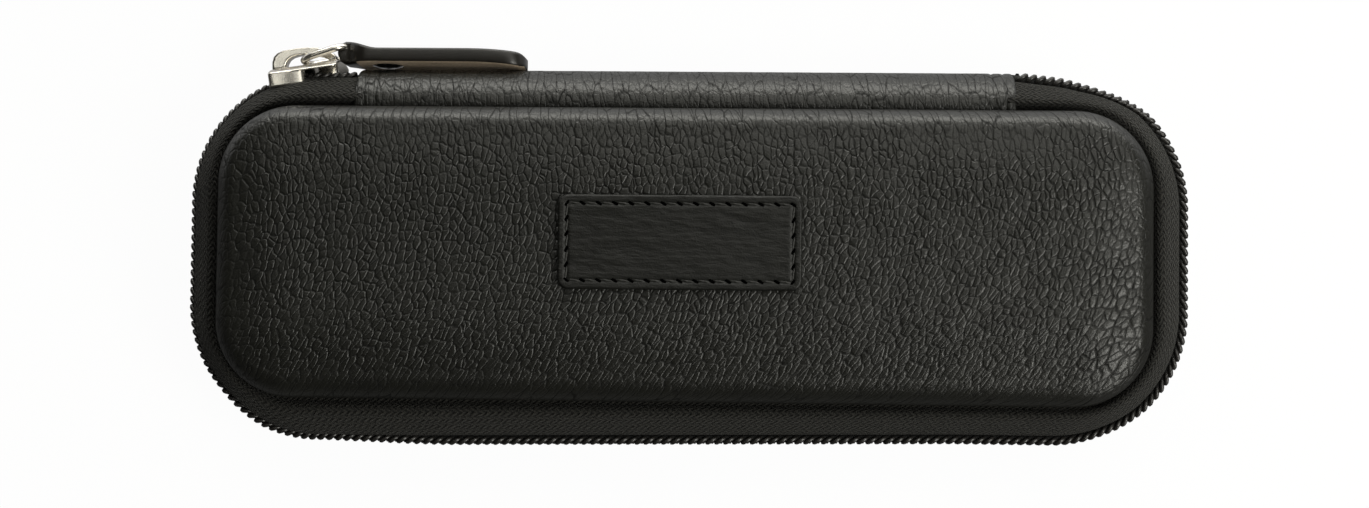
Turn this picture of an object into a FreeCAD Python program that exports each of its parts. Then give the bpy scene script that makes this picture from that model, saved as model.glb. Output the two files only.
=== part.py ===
import FreeCAD, Part
import math
import os
import Sketcher
from FreeCAD import Placement, Rotation, Vector

doc = FreeCAD.newDocument("pen_case")

# Driving sizes in millimetres and degrees
dims = doc.addObject("Spreadsheet::Sheet", "dims")
SIZES = [
    ("case_length", 170.0, "over the zip, left to right"),
    ("case_width", 63.5, "over the zip, without the spine's swell"),
    ("case_depth", 28.0, "over both covers, closed"),
    ("rim_radius", 23.0, "corner of the zip line"),
    ("seam_inset", 7.3, "cover seam, in from the zip line"),
    ("seam_radius", 13.0, "corner of the cover seam"),
    ("panel_rise", 5.0, "cover above its seam"),
    ("panel_roll", 4.2, "rolled edge of the cover"),
    ("crown", 0.9, "swell of the front cover's middle"),
    ("crown_slope", 4.5, "width of the swell's steeper outer band"),
    ("crown_ease", 5.5, "width of the swell's flatter inner band"),
    ("crown_step", 0.6, "rise over the outer band"),
    ("leather", 1.2, "cover leather"),
    ("board", 1.2, "stiffening board"),
    ("lining", 0.6, "lining cloth"),
    ("lining_inset", 1.8, "lining, in from the cover seam"),
    ("foam_bevel", 2.2, "foam edge under the rolled leather"),
    ("tape", 0.9, "zip tape"),
    ("tape_flat", 3.2, "tape upright beside the coil, from the middle"),
    ("tape_edge", 1.3, "tape edge, from the middle"),
    ("coil_height", 1.7, "coil above the tape"),
    ("coil_width", 2.9, "coil from the middle to its sewn side"),
    ("coil_pitch", 1.5, "loop to loop"),
    ("coil_wire", 0.5, "one loop along the zip"),
    ("coil_mesh", 0.45, "loop head past the middle"),
    ("coil_lean", 8.0, "lean of a loop"),
    ("coil_bar", 1.0, "loop from its crest to its underside"),
    ("cord_depth", 0.85, "filler cord below the loops' crest"),
    ("cord_side", 0.35, "filler cord past the loops' sewn side"),
    ("cord_start", 1.5, "filler cord, from the middle"),
    ("spine_set", 6.5, "leather spine strip, short of the corners"),
    ("spine_shy", 0.1, "spine short of the zip line"),
    ("spine_liner", 0.8, "spine lining"),
    ("laminate_gap", 0.1, "between glued layers"),
    ("hinge_gap", 0.3, "spine and tape ends below the lid"),
    ("end_length", 17.7, "zip ends that stay shut, past the spine"),
    ("end_gap", 0.4, "between a zip end and the free tape"),
    ("patch_length", 39.9, "label patch"),
    ("patch_width", 15.5, "label patch"),
    ("patch_radius", 1.8, "label patch corner"),
    ("patch_thick", 1.1, "label patch"),
    ("patch_edge", 0.35, "label patch worn edge"),
    ("patch_shift", 1.8, "label patch above the middle"),
    ("loop_bore", 12.2, "pen loop inside"),
    ("loop_rise", 12.0, "pen loop inside height"),
    ("loop_round", 4.6, "pen loop shoulder inside"),
    ("loop_step", 14.2, "pen loop to pen loop"),
    ("loop_count", 3, "pens held"),
    ("elastic", 0.8, "elastic band"),
    ("band_width", 18.0, "elastic band along the pen"),
    ("band_inset", 45.0, "elastic band from the zip line"),
    ("band_edge", 0.25, "sewn end of a band, in from the lining's edge"),
    ("slider_turn", 8.75, "slider's place round the corner"),
    ("slider_length", 12.9, "slider"),
    ("slider_width", 10.8, "slider outer plate"),
    ("slider_round", 1.0, "slider plate corner"),
    ("slider_plate", 0.7, "slider outer plate"),
    ("slider_inner", 1.1, "slider inner plate"),
    ("inner_width", 6.0, "slider inner plate"),
    ("slider_run", 0.15, "slider clear of the coil"),
    ("slider_wall", 1.0, "slider flange"),
    ("flange_drop", 2.6, "flange below the coil's crest"),
    ("flange_length", 6.7, "flange from the closed end"),
    ("flange_set", 0.4, "flange in from the plate's end"),
    ("wedge_place", 2.2, "wedge point from the slider's middle"),
    ("wedge_point", 1.0, "length of the wedge's point"),
    ("wedge_length", 3.4, "wedge"),
    ("wedge_width", 1.8, "wedge"),
    ("bridge_width", 2.5, "bridge across the zip"),
    ("bridge_thick", 0.8, "bridge bow"),
    ("bridge_inside", 1.9, "room under the bridge"),
    ("bridge_foot", 2.2, "closed end foot along the slider"),
    ("bridge_heel", 1.2, "open end foot along the slider"),
    ("bridge_set", 0.6, "feet in from the plate's ends"),
    ("bridge_rake", 1.6, "lean of the bridge legs"),
    ("bridge_bend", 1.6, "bend of the bridge legs"),
    ("edge_break", 0.25, "rounded metal edge"),
    ("link_wire", 1.2, "link wire"),
    ("link_long", 7.7, "link, wire centre to wire centre"),
    ("link_wide", 6.2, "link, wire centre to wire centre"),
    ("link_corner", 1.6, "link corner, at the wire's centre"),
    ("link_clear", 0.1, "link wire above the plate"),
    ("link_seat", 0.2, "link wire along the slider"),
    ("link_lift", 6.0, "link above the plate, at rest"),
    ("tab_length", 30.8, "pull tab past the ring"),
    ("tab_width", 9.0, "pull tab"),
    ("tab_thick", 2.65, "folded pull tab"),
    ("tab_drop", 1.1, "tab centre below the ring"),
    ("tab_neck", 3.8, "tab at the ring"),
    ("tab_shoulder", 3.4, "tab's full width starts past the ring"),
    ("tab_round", 3.2, "tab end corner"),
    ("tab_loop", 1.85, "tab fold round the ring"),
    ("tab_bore_clear", 0.15, "tab fold clear of the wire"),
    ("rivet_place", 6.9, "rivet from the ring"),
    ("rivet_head", 5.3, "rivet head across"),
    ("rivet_dome", 0.7, "rivet head"),
    ("rivet_rim", 0.25, "rivet head's upright rim"),
    ("rivet_brow", 1.46, "bend of the rivet's dome, from its middle"),
    ("rivet_brow_rise", 0.58, "bend of the rivet's dome, above its seat"),
    ("rivet_post", 2.0, "rivet post"),
    ("rivet_clear", 0.1, "post clear of its hole"),
]
for row, (alias, value, note) in enumerate(SIZES, 1):
    dims.set("A%d" % row, note)
    dims.set("B%d" % row, str(value))
    dims.setAlias("B%d" % row, alias)
doc.recompute()


def size(alias):
    return float(dims.get(alias))


# Places that several pieces share
MIDDLE = "dims.case_depth / 2"
FRONT_SEAM = "(dims.case_depth - dims.panel_rise)"
SEAM_LENGTH = "(dims.case_length - 2 * dims.seam_inset)"
SEAM_WIDTH = "(dims.case_width - 2 * dims.seam_inset)"
BELT_LENGTH = "(dims.case_length - 2 * dims.coil_height)"
BELT_WIDTH = "(dims.case_width - 2 * dims.coil_height)"
BELT_RADIUS = "(dims.rim_radius - dims.coil_height)"
LINING_TOP = "(dims.panel_rise + dims.lining)"
PLATE_TOP = "(dims.slider_run + dims.slider_plate)"
INNER_TOP = "(dims.slider_length ^ 2 / 8 / (dims.rim_radius - dims.coil_height - dims.tape)" \
    " + dims.coil_height + dims.tape + dims.slider_run)"


def plane(body, role):
    return next(f for f in body.Origin.OriginFeatures if f.Role == role)


def new_body(label):
    body = doc.addObject("PartDesign::Body", label)
    body.Label = label
    return body


def new_sketch(body, role, level):
    sketch = body.newObject("Sketcher::SketchObject", body.Name + "_sketch")
    sketch.AttachmentSupport = [(plane(body, role), "")]
    sketch.MapMode = "FlatFace"
    sketch.setExpression("AttachmentOffset.Base.z", level)
    return sketch


def value_of(text):
    return float(dims.evalExpression(text))


def drive(sketch, kind, where, text):
    index = sketch.addConstraint(Sketcher.Constraint(kind, *where, value_of(text)))
    sketch.setExpression("Constraints[%d]" % index, text)


def rounded_sketch(body, level, length, width, radius, role="XY_Plane"):
    """A rounded rectangle about the origin."""
    sketch = new_sketch(body, role, level)
    x, y, r = value_of(length) / 2, value_of(width) / 2, value_of(radius)
    ends = [(-x + r, -y), (x - r, -y), (x, -y + r), (x, y - r)]
    ends += [(x - r, y), (-x + r, y), (-x, y - r), (-x, -y + r)]
    for side in range(4):
        a, b = ends[2 * side], ends[2 * side + 1]
        sketch.addGeometry(Part.LineSegment(Vector(*a), Vector(*b)))
    centres = [(x - r, -y + r), (x - r, y - r), (-x + r, y - r), (-x + r, -y + r)]
    for corner, centre in enumerate(centres):
        circle = Part.Circle(Vector(*centre), Vector(0, 0, 1), r)
        start = (corner - 1) * math.pi / 2
        sketch.addGeometry(Part.ArcOfCircle(circle, start, start + math.pi / 2))
    for side in range(4):
        sketch.addConstraint(Sketcher.Constraint("Tangent", side, 2, 4 + side, 1))
        sketch.addConstraint(Sketcher.Constraint("Tangent", 4 + side, 2, (side + 1) % 4, 1))
    sketch.addConstraint(Sketcher.Constraint("Horizontal", 0))
    sketch.addConstraint(Sketcher.Constraint("Vertical", 1))
    for corner in range(3):
        sketch.addConstraint(Sketcher.Constraint("Equal", 4, 5 + corner))
    sketch.addConstraint(Sketcher.Constraint("Symmetric", 7, 3, 5, 3, -1, 1))
    drive(sketch, "DistanceX", (3, 1, 1, 1), length)
    drive(sketch, "DistanceY", (0, 1, 2, 1), width)
    drive(sketch, "Radius", (4,), radius)
    return sketch


def polygon_sketch(body, role, level, corners):
    """A closed outline whose corners are each placed by two sizes."""
    sketch = new_sketch(body, role, level)
    spots = [Vector(value_of(u), value_of(v)) for u, v in corners]
    count = len(spots)
    for i in range(count):
        sketch.addGeometry(Part.LineSegment(spots[i], spots[(i + 1) % count]))
    for i in range(count):
        sketch.addConstraint(Sketcher.Constraint("Coincident", i, 2, (i + 1) % count, 1))
    for i, (u, v) in enumerate(corners):
        for kind, text, axis in (("DistanceX", u, -2), ("DistanceY", v, -1)):
            if text == "0":
                sketch.addConstraint(Sketcher.Constraint("PointOnObject", i, 1, axis))
            else:
                drive(sketch, kind, (-1, 1, i, 1), text)
    return sketch


def circle_sketch(body, role, level, u, v, radius):
    sketch = new_sketch(body, role, level)
    spot = Vector(value_of(u), value_of(v))
    sketch.addGeometry(Part.Circle(spot, Vector(0, 0, 1), value_of(radius)))
    for kind, text, axis in (("DistanceX", u, -2), ("DistanceY", v, -1)):
        if text == "0":
            sketch.addConstraint(Sketcher.Constraint("PointOnObject", 0, 3, axis))
        else:
            drive(sketch, kind, (-1, 1, 0, 3), text)
    drive(sketch, "Radius", (0,), radius)
    return sketch


def pad(body, sketch, length, back=False):
    feature = body.newObject("PartDesign::Pad", body.Name + "_pad")
    feature.Profile = sketch
    feature.setExpression("Length", length)
    feature.Reversed = back
    doc.recompute()
    return feature


def pocket(body, sketch, length, back=False):
    before = body.Shape.Volume
    feature = body.newObject("PartDesign::Pocket", body.Name + "_pocket")
    feature.Profile = sketch
    feature.setExpression("Length", length)
    feature.Reversed = back
    doc.recompute()
    if body.Shape.Volume >= before:
        raise ValueError(body.Label + ": the pocket cut nothing")
    return feature


def loft(body, kind, sketches):
    feature = body.newObject("PartDesign::" + kind, body.Name + "_loft")
    feature.Profile = sketches[0]
    feature.Sections = sketches[1:]
    feature.Ruled = True
    doc.recompute()
    return feature


def dress(body, kind, radius, wanted):
    """Round or bevel the edges of the body's tip that the test picks."""
    base = body.Tip
    names = ["Edge%d" % i for i, e in enumerate(base.Shape.Edges, 1) if wanted(e)]
    feature = body.newObject("PartDesign::" + kind, body.Name + "_edges")
    feature.Base = (base, names)
    feature.setExpression("Radius" if kind == "Fillet" else "Size", radius)
    doc.recompute()
    return feature


def level_edge(axis, level):
    """True for an edge that lies wholly at one level along an axis."""
    def test(edge):
        box = edge.BoundBox
        low, high = getattr(box, axis + "Min"), getattr(box, axis + "Max")
        return abs(low - level) < 0.01 and abs(high - level) < 0.01
    return test


pieces = []


def keep(piece):
    pieces.append(piece)
    return piece


def joined(kind, label, base, tool):
    piece = doc.addObject("Part::" + kind, label)
    piece.Base = base
    piece.Tool = tool
    piece.Label = label
    return piece


def crown_on(body, level):
    """The slight swell of a padded cover's middle."""
    bands = [("0", "dims.panel_roll"), ("dims.crown_step", "dims.panel_roll + dims.crown_slope")]
    bands.append(("dims.crown", "dims.panel_roll + dims.crown_slope + dims.crown_ease"))
    rings = []
    for rise, inset in bands:
        outline = ["%s - 2 * (%s)" % (span, inset) for span in (SEAM_LENGTH, SEAM_WIDTH)]
        bend = "dims.seam_radius - dims.panel_roll"
        rings.append(rounded_sketch(body, "%s + %s" % (level, rise), *outline, bend))
    loft(body, "AdditiveLoft", rings)


# Covers: each half is leather over foam over a board, with a lining inside
def cover(name, seam, sign, swell):
    """One half's layers, from the leather's outer face in to the lining."""
    outer = "%s + %d * dims.panel_rise" % (seam, sign)
    inner = "dims.panel_rise - dims.leather"
    level = value_of(outer)
    form = new_body(name + "_cover_form")
    shape = rounded_sketch(form, seam, SEAM_LENGTH, SEAM_WIDTH, "dims.seam_radius")
    pad(form, shape, "dims.panel_rise", sign < 0)
    dress(form, "Fillet", "dims.panel_roll", level_edge("Z", level))
    if swell:
        crown_on(form, outer)
    hollow = new_body(name + "_hollow")
    inside = [
        SEAM_LENGTH + " - 2 * dims.leather",
        SEAM_WIDTH + " - 2 * dims.leather",
        "dims.seam_radius - dims.leather",
    ]
    pad(hollow, rounded_sketch(hollow, seam, *inside), inner, sign < 0)
    dress(hollow, "Chamfer", "dims.foam_bevel", level_edge("Z", level - sign * size("leather")))
    if swell:
        crown_on(hollow, outer + " - dims.leather")
    keep(joined("Cut", name + "_leather", form, hollow))

    foam = keep(new_body(name + "_foam"))
    fitted = [
        SEAM_LENGTH + " - 2 * (dims.leather + dims.laminate_gap)",
        SEAM_WIDTH + " - 2 * (dims.leather + dims.laminate_gap)",
        "dims.seam_radius - dims.leather - dims.laminate_gap",
    ]
    start = "%s + %d * dims.board" % (seam, sign)
    depth = "dims.panel_rise - dims.leather - dims.laminate_gap - dims.board"
    pad(foam, rounded_sketch(foam, start, *fitted), depth, sign < 0)
    top = value_of(start) + sign * value_of(depth)
    dress(foam, "Chamfer", "dims.foam_bevel", level_edge("Z", top))
    if swell:
        crown_on(foam, outer + " - dims.leather - dims.laminate_gap")

    board = keep(new_body(name + "_board"))
    pad(board, rounded_sketch(board, seam, *fitted), "dims.board", sign < 0)

    lining = keep(new_body(name + "_lining"))
    cloth = [
        SEAM_LENGTH + " - 2 * dims.lining_inset",
        SEAM_WIDTH + " - 2 * dims.lining_inset",
        "dims.seam_radius - dims.lining_inset",
    ]
    pad(lining, rounded_sketch(lining, seam, *cloth), "dims.lining", sign > 0)


cover("rear", "dims.panel_rise", -1, False)
cover("front", FRONT_SEAM, 1, True)


# Zip tapes: from the cover seam, sloping out, then upright under the coil
def tape_ring(name, seam, sign):
    ring = new_body(name)
    flat = "%s + %d * dims.tape_flat" % (MIDDLE, sign)
    edge = "%s + %d * dims.tape_edge" % (MIDDLE, sign)
    seam_size = [SEAM_LENGTH, SEAM_WIDTH, "dims.seam_radius"]
    belt_size = [BELT_LENGTH, BELT_WIDTH, BELT_RADIUS]
    levels = [(seam, seam_size), (flat, belt_size), (edge, belt_size)]
    loft(ring, "AdditiveLoft", [rounded_sketch(ring, z, *s) for z, s in levels])
    within = []
    for z, (length, width, radius) in levels:
        inside = [length + " - 2 * dims.tape", width + " - 2 * dims.tape", radius + " - dims.tape"]
        within.append(rounded_sketch(ring, z, *inside))
    loft(ring, "SubtractiveLoft", within)
    return ring


def slab(name, x_from, x_to, top):
    """The part of the upper side between two places along it."""
    box = doc.addObject("Part::Box", name)
    box.setExpression("Length", "%s - (%s)" % (x_to, x_from))
    box.setExpression("Width", "dims.case_width")
    box.setExpression("Height", top)
    box.setExpression("Placement.Base.x", x_from)
    return box


SPINE_END = "(dims.case_length / 2 - dims.rim_radius - dims.spine_set)"
CUT = "(%s + dims.end_length)" % SPINE_END
rear_ring = tape_ring("rear_ring", "dims.panel_rise", -1)
front_ring = tape_ring("front_ring", FRONT_SEAM, 1)
spine_slab = slab("spine_slab", "-" + SPINE_END, SPINE_END, "dims.case_depth")
keep(joined("Cut", "rear_zip_tape", rear_ring, spine_slab))
free_end = CUT + " + dims.end_gap"
free_slab = slab("free_slab", "-(%s)" % free_end, free_end, "dims.case_depth")
keep(joined("Cut", "front_zip_tape", front_ring, free_slab))
end_top = FRONT_SEAM + " - dims.hinge_gap"
left_slab = slab("left_slab", "-" + CUT, "-" + SPINE_END, end_top)
keep(joined("Common", "zip_end_tape_left", front_ring, left_slab))
right_slab = slab("right_slab", SPINE_END, CUT, end_top)
keep(joined("Common", "zip_end_tape_right", front_ring, right_slab))


# Spine: a half tube of leather with its lining, from seam to seam
def half_tube(label, outer, wall):
    tubes = []
    for part, radius in (("skin", outer), ("core", "%s - %s" % (outer, wall))):
        tube = doc.addObject("Part::Cylinder", "%s_%s" % (label, part))
        tube.setExpression("Radius", radius)
        tube.setExpression("Height", "2 * " + SPINE_END)
        tube.Angle = 180
        centre = "dims.case_width / 2 - dims.spine_shy - (%s)" % SPINE_RADIUS
        tube.Placement = Placement(Vector(0, 0, 0), Rotation(Vector(0, 1, 0), 90))
        tube.setExpression("Placement.Base.x", "-" + SPINE_END)
        tube.setExpression("Placement.Base.y", centre)
        tube.setExpression("Placement.Base.z", MIDDLE)
        tubes.append(tube)
    return keep(joined("Cut", label, *tubes))


SPINE_RADIUS = "dims.case_depth / 2 - dims.panel_rise - dims.hinge_gap"
half_tube("spine_leather", SPINE_RADIUS, "dims.leather")
half_tube("spine_lining", SPINE_RADIUS + " - dims.leather - dims.laminate_gap", "dims.spine_liner")


# Zip line: straight runs and corner arcs from the spine's left end round to its right end
class ZipLine:
    def __init__(self):
        self.x = size("case_length") / 2
        self.y = size("case_width") / 2
        self.r = size("rim_radius")
        end = value_of(SPINE_END)
        cx, cy = self.x - self.r, self.y - self.r
        turn = math.pi / 2 * self.r
        self.runs = []
        place = 0.0
        corner = [(-cx, cy), (-cx, -cy), (cx, -cy), (cx, cy)]
        straight = [cx - end, 2 * cy, 2 * cx, 2 * cy, cx - end]
        starts = [(-end, self.y), (-self.x, cy), (-cx, -self.y), (self.x, -cy), (cx, self.y)]
        heading = [180, 270, 0, 90, 180]
        for i in range(5):
            self.runs.append((place, straight[i], starts[i], heading[i], None))
            place += straight[i]
            if i < 4:
                self.runs.append((place, turn, corner[i], heading[i], self.r))
                place += turn
        self.length = place

    def station(self, place):
        """Point on the line, its direction and the outward direction."""
        for start, length, spot, heading, radius in reversed(self.runs):
            if place >= start - 1e-9:
                break
        along = place - start
        angle = math.radians(heading)
        if radius:
            angle += along / radius
            out = Vector(math.sin(angle), -math.cos(angle), 0)
            point = Vector(*spot, 0) + out * radius
        else:
            out = Vector(math.sin(angle), -math.cos(angle), 0)
            point = Vector(*spot, 0) + Vector(math.cos(angle), math.sin(angle), 0) * along
        return point, Vector(math.cos(angle), math.sin(angle), 0), out

    def edges(self, start, end, depth):
        """The line from one place to another, moved in by a depth."""
        found = []
        for begin, length, spot, heading, radius in self.runs:
            a, b = max(start, begin), min(end, begin + length)
            if b - a < 1e-6:
                continue
            marks = []
            for place in (a, (a + b) / 2, b - 1e-9):
                point, along, out = self.station(place)
                marks.append(point - out * depth)
            if radius:
                found.append(Part.Arc(*marks).toShape())
            else:
                found.append(Part.makeLine(marks[0], marks[2]))
        return found


# Zip coil: a filler cord with a leaning nylon loop over it at every step, its heads reaching past the middle
def coil(label, sign, start, end, shift, open_until=0.0):
    line = ZipLine()
    high, wide = size("coil_height"), size("coil_width")
    side, pitch = size("cord_side"), size("coil_pitch")
    wire, bar = size("coil_wire"), size("coil_bar")
    middle = value_of(MIDDLE)
    depth = size("cord_depth")
    outer = line.edges(start, end, depth)
    inner = line.edges(start, end, high)
    caps = []
    for place in (start, end - 1e-9):
        point, along, out = line.station(place)
        caps.append(Part.makeLine(point - out * depth, point - out * high))
    wire_loop = Part.Wire(Part.__sortEdges__(outer + inner + caps))
    face = Part.Face(wire_loop)
    face.translate(Vector(0, 0, middle + sign * size("cord_start")))
    cord = face.extrude(Vector(0, 0, sign * (wide - size("cord_start"))))
    loops = []
    step = math.ceil((start + wire - shift) / pitch)
    while step * pitch + shift < end - wire:
        place = step * pitch + shift
        head = size("tape_edge") if place < open_until else -size("coil_mesh")
        block = Part.makeBox(wire, bar, wide - side - head, Vector(-wire / 2, -bar, head))
        if sign < 0:
            block = block.mirror(Vector(0, 0, 0), Vector(0, 0, 1))
        block.rotate(Vector(0, 0, 0), Vector(0, 1, 0), size("coil_lean"))
        point, along, out = line.station(place)
        heading = math.degrees(math.atan2(along.y, along.x))
        block.rotate(Vector(0, 0, 0), Vector(0, 0, 1), heading - 180)
        block.translate(point + Vector(0, 0, middle))
        loops.append(block)
        step += 1
    piece = keep(doc.addObject("Part::Feature", label))
    piece.Shape = cord.multiFuse(loops)
    piece.Label = label


zip_line = ZipLine()
corner_x = size("case_length") / 2 - size("rim_radius")
cut_turn = math.asin((value_of(CUT) - corner_x) / size("rim_radius"))
end_place = zip_line.runs[1][0] + cut_turn * size("rim_radius")
half_gap = size("end_gap") / 2
half_step = size("coil_pitch") / 2
slider_place = zip_line.runs[1][0] + math.radians(size("slider_turn")) * size("rim_radius")
mouth = slider_place - size("wedge_place") + size("end_gap")
whole = zip_line.length
coil("rear_zip_coil", -1, 0.0, whole, 0.0, mouth)
coil("front_zip_coil", 1, end_place + half_gap, whole - end_place - half_gap, half_step)
coil("zip_end_coil_left", 1, 0.0, end_place - half_gap, half_step, mouth)
coil("zip_end_coil_right", 1, whole - end_place + half_gap, whole, half_step)


# Label patch sewn on the front cover
patch = keep(new_body("label_patch"))
patch_shape = rounded_sketch(patch, "dims.case_depth + dims.crown",
                             "dims.patch_length", "dims.patch_width", "dims.patch_radius")
patch_shape.setExpression("AttachmentOffset.Base.y", "dims.patch_shift")
pad(patch, patch_shape, "dims.patch_thick")
patch_face = value_of("dims.case_depth + dims.crown + dims.patch_thick")
dress(patch, "Fillet", "dims.patch_edge", level_edge("Z", patch_face))


# Elastic bands: a strip sewn to the rear lining, raised into a row of loops
def pen_band(label, side):
    band = keep(new_body(label))
    start = "%d * (dims.case_length / 2 - dims.band_inset) - dims.band_width / 2" % side
    half_row = "(%s / 2 - dims.lining_inset - dims.band_edge)" % SEAM_WIDTH
    foot = LINING_TOP
    top = LINING_TOP + " + dims.elastic"
    strip = [("-" + half_row, foot), (half_row, foot), (half_row, top), ("-" + half_row, top)]
    pad(band, polygon_sketch(band, "YZ_Plane", start, strip), "dims.band_width")
    first = "(-(dims.loop_count - 1) * dims.loop_step / 2)"
    wide = "(dims.loop_bore / 2 + dims.elastic)"
    bore = "dims.loop_bore / 2"
    crown = top + " + dims.loop_rise"
    arch = [
        (first + " - " + wide, foot),
        (first + " - " + bore, foot),
        (first + " - " + bore, crown),
        (first + " + " + bore, crown),
        (first + " + " + bore, foot),
        (first + " + " + wide, foot),
        (first + " + " + wide, crown + " + dims.elastic"),
        (first + " - " + wide, crown + " + dims.elastic"),
    ]
    strap = pad(band, polygon_sketch(band, "YZ_Plane", start, arch), "dims.band_width")
    rows = band.newObject("PartDesign::LinearPattern", label + "_row")
    rows.Originals = [strap]
    rows.Direction = (plane(band, "Y_Axis"), [""])
    rows.setExpression("Length", "(dims.loop_count - 1) * dims.loop_step")
    rows.setExpression("Occurrences", "dims.loop_count")
    band.Tip = rows
    doc.recompute()
    dress(band, "Fillet", "dims.loop_round", shoulder(value_of(crown)))
    outer = value_of(crown) + size("elastic")
    dress(band, "Fillet", "dims.loop_round + dims.elastic", shoulder(outer))


def shoulder(level):
    """True for an edge along the pens at one level."""
    def test(edge):
        box = edge.BoundBox
        return abs(box.ZMin - level) < 0.01 and box.ZLength < 0.01 and box.YLength < 0.01
    return test


pen_band("pen_loops_left", -1)
pen_band("pen_loops_right", 1)

# Slider frame: x along the zip to its open end, y outward, z across
turn = size("slider_turn")
spin = Rotation(Vector(0, 0, 1), turn)
corner_centre = Vector(-corner_x, size("case_width") / 2 - size("rim_radius"), value_of(MIDDLE))
slider_frame = Placement(corner_centre + spin.multVec(Vector(0, size("rim_radius"), 0)), spin)


def plan_rectangle(x_from, x_to, half):
    return [(x_from, "-" + half), (x_to, "-" + half), (x_to, half), (x_from, half)]


# Slider casting: outer plate with a flange each side, a wedge and the inner plate behind the coil
HALF_SLIDER = "dims.slider_length / 2"
slider = keep(new_body("slider_body"))
plate = polygon_sketch(slider, "XZ_Plane", "-" + PLATE_TOP,
                       plan_rectangle("-" + HALF_SLIDER, HALF_SLIDER, "dims.slider_width / 2"))
pad(slider, plate, "dims.slider_plate")


def upright(edge):
    box = edge.BoundBox
    return box.YLength > 0.1 and box.XLength < 0.01 and box.ZLength < 0.01


dress(slider, "Fillet", "dims.slider_round", upright)
dress(slider, "Fillet", "dims.edge_break", level_edge("Y", value_of(PLATE_TOP)))
for side in (-1, 1):
    near = "%d * (dims.slider_width / 2 - dims.slider_wall)" % side
    far = "%d * dims.slider_width / 2" % side
    x_from = "-%s + dims.slider_round" % HALF_SLIDER
    x_to = "-%s + dims.flange_set + dims.flange_length" % HALF_SLIDER
    flange = [(x_from, near), (x_to, near), (x_to, far), (x_from, far)]
    level = "(dims.slider_run + dims.edge_break)"
    wall = polygon_sketch(slider, "XZ_Plane", "-" + level, flange)
    pad(slider, wall, "dims.flange_drop + " + level)
half_wedge = "dims.wedge_width / 2"
wedge = [
    ("dims.wedge_place", "0"),
    ("dims.wedge_place + dims.wedge_point", "-" + half_wedge),
    ("dims.wedge_place + dims.wedge_length", "-" + half_wedge),
    ("dims.wedge_place + dims.wedge_length", half_wedge),
    ("dims.wedge_place + dims.wedge_point", half_wedge),
]
post = polygon_sketch(slider, "XZ_Plane", "-dims.slider_run", wedge)
pad(slider, post, "dims.slider_run + " + INNER_TOP)
tongue = polygon_sketch(slider, "XZ_Plane", INNER_TOP,
                        plan_rectangle("-" + HALF_SLIDER, HALF_SLIDER, "dims.inner_width / 2"))
pad(slider, tongue, "dims.slider_inner")
slider.Placement = slider_frame

# Bridge: a flat bow that stands on the outer plate and keeps the link
bridge = keep(new_body("slider_bridge"))
toe = "-%s + dims.bridge_set" % HALF_SLIDER
heel = "%s - dims.bridge_set" % HALF_SLIDER
soffit = PLATE_TOP + " + dims.bridge_inside"
crest = soffit + " + dims.bridge_thick"
bow = [
    (toe, PLATE_TOP),
    (toe + " + dims.bridge_foot", PLATE_TOP),
    (toe + " + dims.bridge_foot + dims.bridge_rake / 2", soffit),
    (heel + " - dims.bridge_heel - dims.bridge_rake / 2", soffit),
    (heel + " - dims.bridge_heel", PLATE_TOP),
    (heel, PLATE_TOP),
    (heel + " - dims.bridge_rake", crest),
    (toe + " + dims.bridge_rake", crest),
]
pad(bridge, polygon_sketch(bridge, "XY_Plane", "-dims.bridge_width / 2", bow), "dims.bridge_width")


def bend_at(level):
    def test(edge):
        box = edge.BoundBox
        return box.ZLength > 0.5 and abs(box.YMin - level) < 0.01 and abs(box.YMax - level) < 0.01
    return test


dress(bridge, "Fillet", "dims.bridge_bend", bend_at(value_of(crest)))
dress(bridge, "Fillet", "dims.bridge_bend / 2", bend_at(value_of(soffit)))
bridge.Placement = slider_frame

# Link: an oval of wire through the bridge, its near end on the outer plate
link = keep(new_body("pull_link"))
rail = rounded_sketch(link, "0", "dims.link_long", "dims.link_wide", "dims.link_corner", "XZ_Plane")
rail.setExpression("AttachmentOffset.Base.x", "dims.link_long / 2")
section = circle_sketch(link, "YZ_Plane", "dims.link_corner",
                        "0", "-dims.link_wide / 2", "dims.link_wire / 2")
pipe = link.newObject("PartDesign::AdditivePipe", "link_pipe")
pipe.Profile = section
doc.recompute()
pipe.Spine = (rail, ["Edge%d" % i for i in range(1, len(rail.Shape.Edges) + 1)])
doc.recompute()
link_level = value_of(PLATE_TOP + " + dims.link_wire / 2 + dims.link_clear")
link_pivot = Vector(size("link_seat"), link_level, 0)
link_spin = Rotation(Vector(0, 0, 1), turn + size("link_lift"))
link.Placement = Placement(slider_frame.multVec(link_pivot), link_spin)

# Pull tab: leather folded round the far end of the link and closed by a rivet
tab_pivot = link.Placement.multVec(Vector(size("link_long"), 0, 0))
tab = keep(new_body("pull_tab"))
fold = circle_sketch(tab, "XY_Plane", "-dims.tab_neck / 2", "0", "0", "dims.tab_loop")
pad(tab, fold, "dims.tab_neck")
under = "-(dims.tab_drop + dims.tab_thick / 2)"
over = "-(dims.tab_drop - dims.tab_thick / 2)"
neck_end = "dims.tab_shoulder + dims.tab_round"
neck = [("0", under + " + dims.tab_drop / 2"), (neck_end, under), (neck_end, over), ("0", "dims.tab_loop")]
pad(tab, polygon_sketch(tab, "XY_Plane", "-dims.tab_neck / 2", neck), "dims.tab_neck")
strap = polygon_sketch(tab, "XZ_Plane", "dims.tab_drop - dims.tab_thick / 2",
                       plan_rectangle("dims.tab_shoulder", "dims.tab_length", "dims.tab_width / 2"))
pad(tab, strap, "dims.tab_thick")


def tab_corner(edge):
    box = edge.BoundBox
    wide = abs(abs(box.ZMin) - size("tab_width") / 2) < 0.01
    return wide and box.YLength > 1 and box.XLength < 0.01 and box.ZLength < 0.01


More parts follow.
